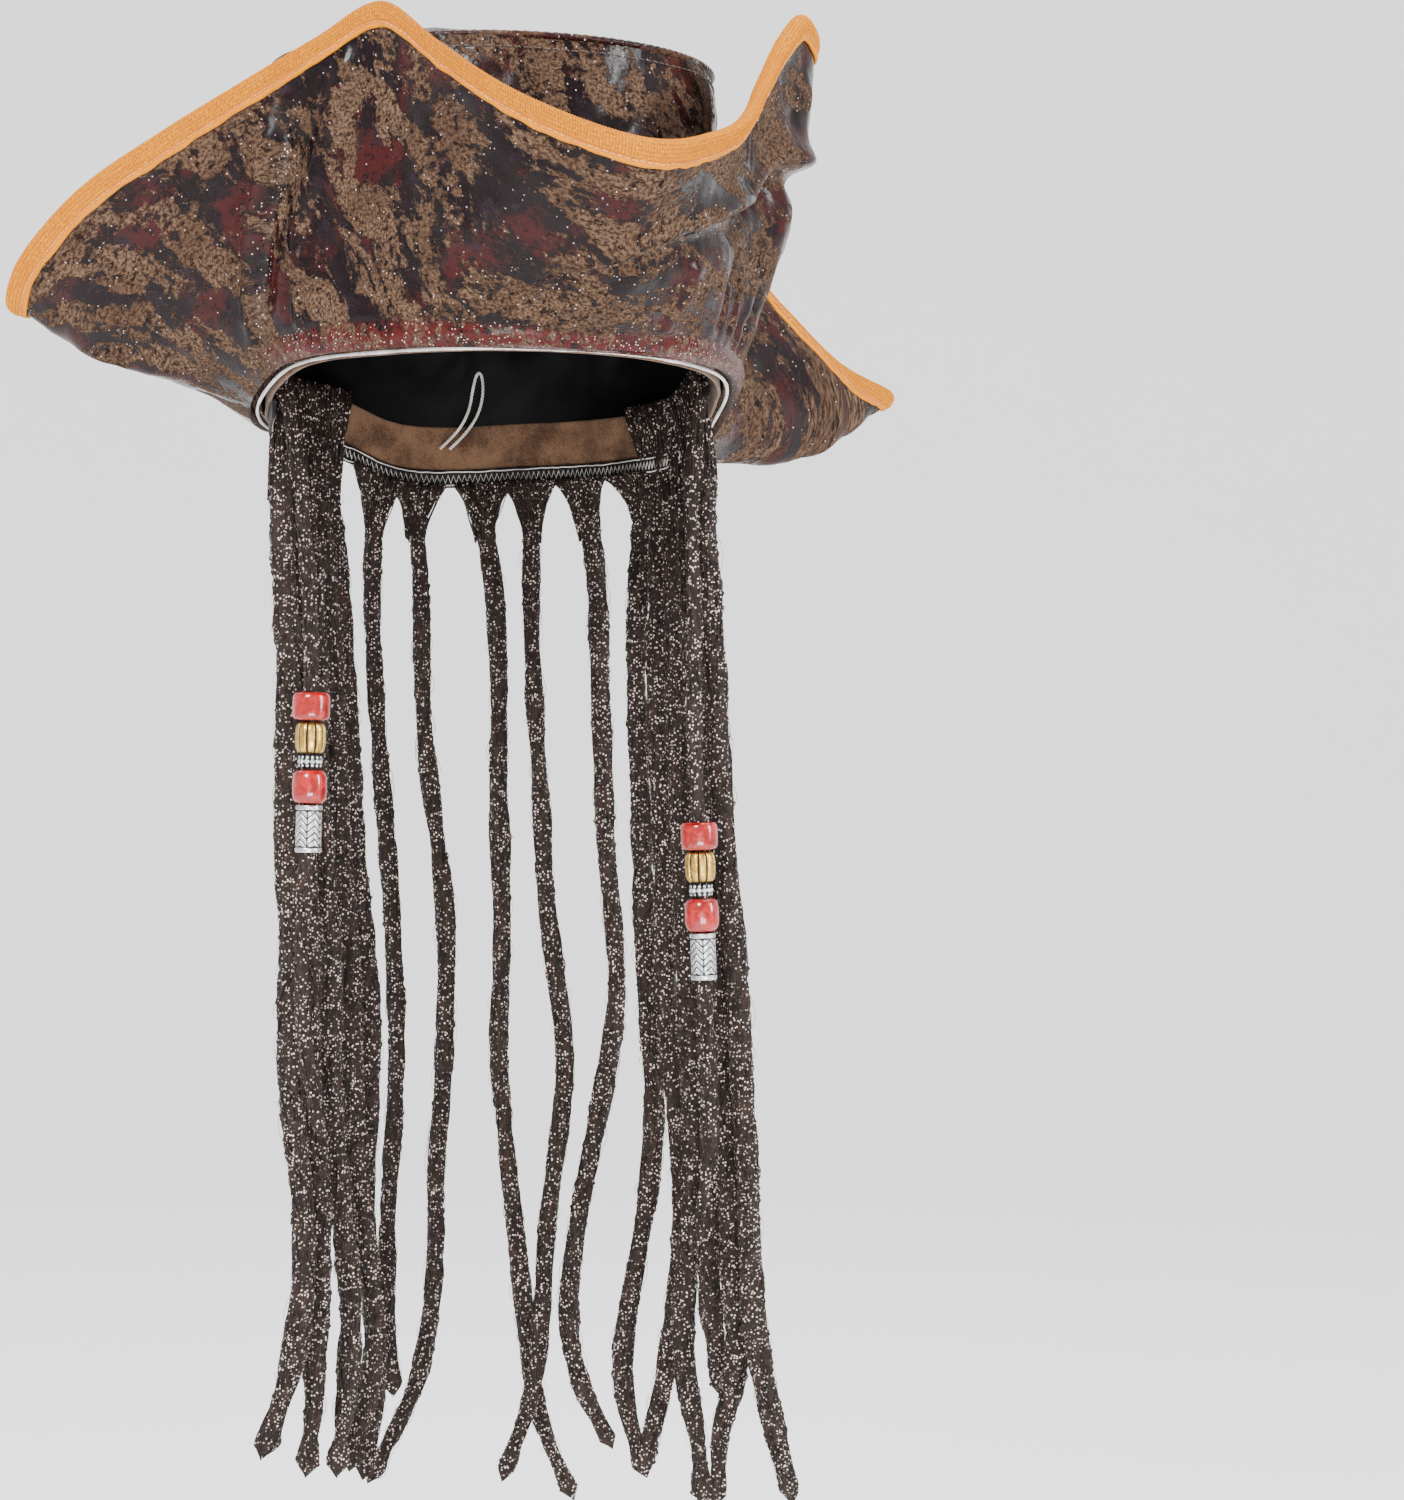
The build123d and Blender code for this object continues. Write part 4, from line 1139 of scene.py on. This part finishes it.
# The welt's rolled share of 0.3 makes it glossier and redder and also gives it a few painted highlight
# specks.
piece("crown_top_seam", points, grid(len(seam_angle), 14, True, True), leather, "distressed_leather",
      uv=uv.reshape(-1, 2),
      values={"steep": np.zeros(points.shape[:2]), "rolled": np.full(points.shape[:2], 0.3)})


def on_crown(t, offset):
    total = 2 * math.pi * opening_half_width

    def line_of(s):
        angle = s / total * 360 - 180
        spot = crown_wall(angle, np.full_like(angle, t), offset)
        return spot, unit(at(angle, 1.0, 0.0))
    return line_of, total


line_of, total = on_crown(0.955, 0.1)
stitches("crown_topstitching", line_of, total, 3.2, 0.9, 0.2, 0.3, dark_thread, "thread", 0.05)
seam_rows = []
for gap_side in (-1, 1):
    height_share = np.linspace(0.03, 0.95, 34)
    s = np.stack([height_share, height_share + 0.018], 1)
    s = np.linspace(s[:, 0], s[:, 1], 5, axis=1)
    spot = crown_wall(np.full_like(s, 180 + 1.4 * gap_side), s, 0.25)
    seam_rows.append(threads(spot, 0.2))
points, quads = joined(seam_rows)
piece("crown_back_stitching", points, quads, dark_thread, "thread")

# ---------------------------------------------------------------- lining and inside of the opening
def lining_wall(angle, t, offset):
    """The gathered lining, from just above the sweatband to the crown's top."""
    turn = np.radians(angle)
    pleat = 0.9 * np.sin(turn * 23 + 2 * np.sin(turn * 3)) * (0.35 + 0.65 * (1 - t)) + 0.9
    soft = waves(crown_wall(angle, t, 0.0), 40, 51)
    drawn = (pleat + 0.7 * np.abs(soft)) * smooth(t, 0.1, 0.3)
    return crown_wall(angle, 0.1 + 0.86 * t, offset - 1.8 - drawn)


up = np.linspace(0, 1, 60)[None, :]
lining_angle = np.arange(-180, 180, 0.75)[:, None]
points = np.concatenate([
    lining_wall(lining_angle, up, 0.25), lining_wall(lining_angle, up, -0.35)[:, ::-1],
], 1)
rows, columns = points.shape[:2]
lining = piece("crown_lining_cloth", points, grid(rows, columns, True, True), lining_black, "lining_cloth")
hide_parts("crown_lining")


def lining_top_at(drop):
    def place(x, y):
        far = np.hypot(x, y)
        flat = np.stack([x * 75.6, y * 85.6, np.zeros_like(x)], -1)
        slack = 1 - far**2
        flat[..., 2] = 120.0 + 4.0 * y - drop - 2.2 * slack + 0.8 * waves(flat, 36, 52) * slack
        return flat
    return place


points, quads = disc_shell(90, lining_top_at(0.0), lining_top_at(0.6))
lining_top = piece("crown_top_lining_cloth", points, quads, lining_black, "lining_cloth")
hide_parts("crown_top_lining")


def ring_band(angle, low, height, near, far, wave, steps=24, bulge=0.0):
    """A closed band around the inside of the opening, from low above the opening's edge."""
    t = np.linspace(0, 1, steps)[None, :]
    z = rim_height(angle) + low + height * t
    base = rim_radius(angle)
    spot = at(angle, base, z)
    soft = wave * waves(spot, 17, 61) + bulge * np.sin(np.pi * t)
    return np.concatenate([at(angle, base + far + soft, z), at(angle, base + near + soft, z)[:, ::-1]], 1)


band_angle = np.arange(-180, 180, 0.5)[:, None]
points = ring_band(band_angle, -1.5, 18.0, -3.5, -2.3, 0.25, bulge=-0.3)
rows, columns = points.shape[:2]
sweatband = piece("sweatband_suedette", points, grid(rows, columns, True, True), suedette,
                  "sweatband_suede")
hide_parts("sweatband")

section = np.linspace(0, 2 * np.pi, 12, endpoint=False)[None, :]
soft = 0.18 * waves(at(band_angle, rim_radius(band_angle), 0.0), 9, 62)
ring = 0.6 + 0.5 * soft + 0.04 * np.sin(np.radians(band_angle) * 190)
points = at(band_angle, rim_radius(band_angle) + 0.3 + ring * np.cos(section),
            rim_height(band_angle) - 0.9 + ring * np.sin(section))
piping = piece("opening_piping_satin", points, grid(len(band_angle), 12, True, True), pale_piping, "piping")
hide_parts("opening_piping")

weft_angle = np.linspace(95, 275, 380)[:, None]
band = ring_band(weft_angle, -8.0, 7.0, -5.0, -3.8, 0.2, 16)
rows, columns = band.shape[:2]
quads = grid(rows, columns, wrap_columns=True)
half = columns // 2
ends = []
for first, flip in ((0, 1), ((rows - 1) * columns, -1)):
    for i in range(half - 1):
        ends.append([first + i, first + i + 1, first + columns - 2 - i, first + columns - 1 - i][::flip])
quads = np.concatenate([quads, np.array(ends)[:, ::-1]])
weft = piece("hair_weft_elastic", band, quads, elastic, "elastic_band")
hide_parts("hair_weft_band")

zig_angle = np.linspace(97, 273, 260)
zig_z = rim_height(zig_angle) - 4.6 + 1.5 * np.where(np.arange(260) % 2, 1, -1)
zig = at(zig_angle, rim_radius(zig_angle) - 5.25, zig_z)
rows_of = [zig]
for drop in (-1.9, -7.2):
    fine = np.linspace(96, 274, 260)
    wobble = 0.2 * waves(at(fine, 90.0, 0.0), 5, 63)
    rows_of.append(at(fine, rim_radius(fine) - 5.2, rim_height(fine) + drop + wobble))
points, quads = threads(np.array(rows_of), 0.26)
piece("weft_stitching", points, quads, pale_thread, "thread")

# ---------------------------------------------------------------- hair at its roots
def funnel(line, diameter, angle_spread, height, seed, number, uneven):
    """Hair that spreads from the top of a lock up to the band that it is sewn to."""
    dice = np.random.default_rng(seed)
    foot = line[int(3.2 / line_step)]
    centre = math.degrees(math.atan2(-line[0][0], -line[0][1]))
    edge = dice.uniform(-1, 1, number)
    edge = np.sign(edge) * np.abs(edge) ** 0.8
    top_angle = centre + edge * angle_spread
    depth = dice.uniform(0, 1, number)
    radius = rim_radius(top_angle) - 5.6 - depth * 4.4
    top = at(top_angle, radius, rim_height(top_angle) + height + dice.uniform(-uneven, uneven, number))
    round_it = dice.uniform(0, 2 * np.pi, number)
    spread = np.sqrt(dice.uniform(0, 1, number)) * diameter * 0.47
    low = foot + np.stack([np.cos(round_it) * spread, np.sin(round_it) * spread,
                           -dice.uniform(0, 7, number)], 1)
    low[:, 0] += edge * diameter * 0.15
    s = np.linspace(0, 1, 12)[None, :, None]
    ease = s**1.6
    lines = top[:, None] * (1 - s) + low[:, None] * s
    pinch = (ease - s) * (low - top)[:, None] * (1, 1, 0)
    lines = lines + pinch * -0.9
    lines += (np.sin(s * 9 + dice.uniform(0, 6, (number, 1, 3))) * 0.35) * (s * (1 - s) * 4)
    return threads(lines, 0.34 * dice.uniform(0.6, 1.4, number)[:, None])


for order, (name, (diameter, route)) in enumerate(rear_locks.items()):
    line = lock_ends[name][0]
    points, quads = funnel(line, diameter, 7.4, -7.6, 300 + order, 260, 1.2)
    tuft = piece(f"{name}_root", points, quads, hair, "hair", body=None)
    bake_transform(tuft)
    if order == 0:
        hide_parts("rear_root_tufts")

for side_name, locks in (("left", left_locks), ("right", right_locks)):
    parts = []
    for order, (name, (diameter, route)) in enumerate(locks.items()):
        line = lock_ends[name][0]
        seed = 400 + order + 20 * (side_name == "left")
        if name == "right_lock_1":
            parts.append(funnel(line, diameter, 7.0, -7.6, seed, 300, 1.2))
        else:
            parts.append(funnel(line, diameter, 6.0, 16.0, seed, 460, 3.0))
    diameter, route = bead_locks[f"{side_name}_bead_lock"]
    parts.append(funnel(lock_line(route)[0], diameter, 4.0, 4.0, 460, 170, 2.0))
    points, quads = joined(parts)
    tuft = piece(f"{side_name}_root_hair", points, quads, hair, "hair", body=None)
    middle = Vector(np.mean([lock_ends[n][0][0] for n in locks], axis=0) * MM)
    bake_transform(tuft)
    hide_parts(f"{side_name}_root_tuft")

# ---------------------------------------------------------------- hang loop
hang_loop = [
    (6, 91, -7), (9, 89, -4), (14, 87, 2), (17, 86, 9), (18, 85, 17), (19.5, 85, 23), (21.5, 85, 23.5),
    (22.5, 85, 17), (21.5, 86, 9), (18, 87, 2), (13, 89, -4), (10, 91, -7),
]
line, reach = evenly(smooth_line(np.array(hang_loop, float) * MM) / MM, 0.5)
along, one, other = sides_of(line)
plies = []
for ply in range(3):
    turn = (reach * 1.5 + ply * 2 * math.pi / 3)[:, None]
    plies.append(line + (one * np.cos(turn) + other * np.sin(turn)) * 0.36)
points, quads = threads(np.array(plies), 0.3)
loop = piece("hang_loop_cord", points, quads, pale_thread, "thread")
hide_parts("hang_loop")

# ---------------------------------------------------------------- stage and light
def stage_bowl():
    """A pale floor that curves up into a pale wall all the way round."""
    p = Paint("backdrop")
    cloud = p.noise(p.place(), 0.6, 3.0)
    colour = p.mix(cloud, tone(234, 234, 235), tone(240, 240, 240))
    paint = p.finish(Base_Color=colour, Roughness=0.9, Normal=p.bump(cloud, 0.0001, 0.2))
    turn = np.linspace(0, 2 * np.pi, 96, endpoint=False)[:, None]
    sweep = np.linspace(0, np.pi / 2, 24)
    r = np.concatenate([[0.05, 1.5, 3.0], 3.6 + 2.4 * np.sin(sweep), [6.0]])[None, :]
    z = np.concatenate([[0, 0, 0], 2.4 - 2.4 * np.cos(sweep), [4.5]])[None, :] - 0.78
    points = np.stack(np.broadcast_arrays(r * np.cos(turn), r * np.sin(turn), z), -1)
    mesh = bpy.data.meshes.new("backdrop")
    quads = grid(96, r.shape[1], wrap_rows=True)[:, ::-1]
    mesh.from_pydata(points.reshape(-1, 3).tolist(), [], quads.tolist())
    mesh.shade_smooth()
    mesh.materials.append(paint)
    made = bpy.data.objects.new("backdrop", mesh)
    bpy.context.scene.collection.objects.link(made)
    return made


stage_bowl()


def softbox(name, place, target, width, height, watts):
    data = bpy.data.lights.new(name, "AREA")
    data.shape = "RECTANGLE"
    data.size, data.size_y, data.energy = width, height, watts
    lamp = bpy.data.objects.new(name, data)
    lamp.location = place
    lamp.rotation_euler = (Vector(target) - Vector(place)).to_track_quat("-Z", "Y").to_euler()
    lamp.visible_camera = False
    bpy.context.scene.collection.objects.link(lamp)


softbox("key", (-1.7, -2.1, 1.5), (0, 0, 0), 0.9, 0.9, 150)
softbox("fill", (2.1, -1.7, 0.6), (0, 0, -0.1), 0.5, 1.5, 80)
softbox("top", (0.1, 0.3, 2.6), (0, 0, 0), 1.4, 1.4, 70)
softbox("sky", (0, 0.9, 3.4), (0, 0.9, 0), 5.0, 5.0, 240)
softbox("low", (-0.4, -2.1, -0.6), (0, 0, -0.25), 1.4, 0.4, 40)

world = bpy.data.worlds.new("studio")
world.use_nodes = True
world.node_tree.nodes["Background"].inputs[0].default_value = (1, 1, 1, 1)
world.node_tree.nodes["Background"].inputs[1].default_value = 0.95
bpy.context.scene.world = world
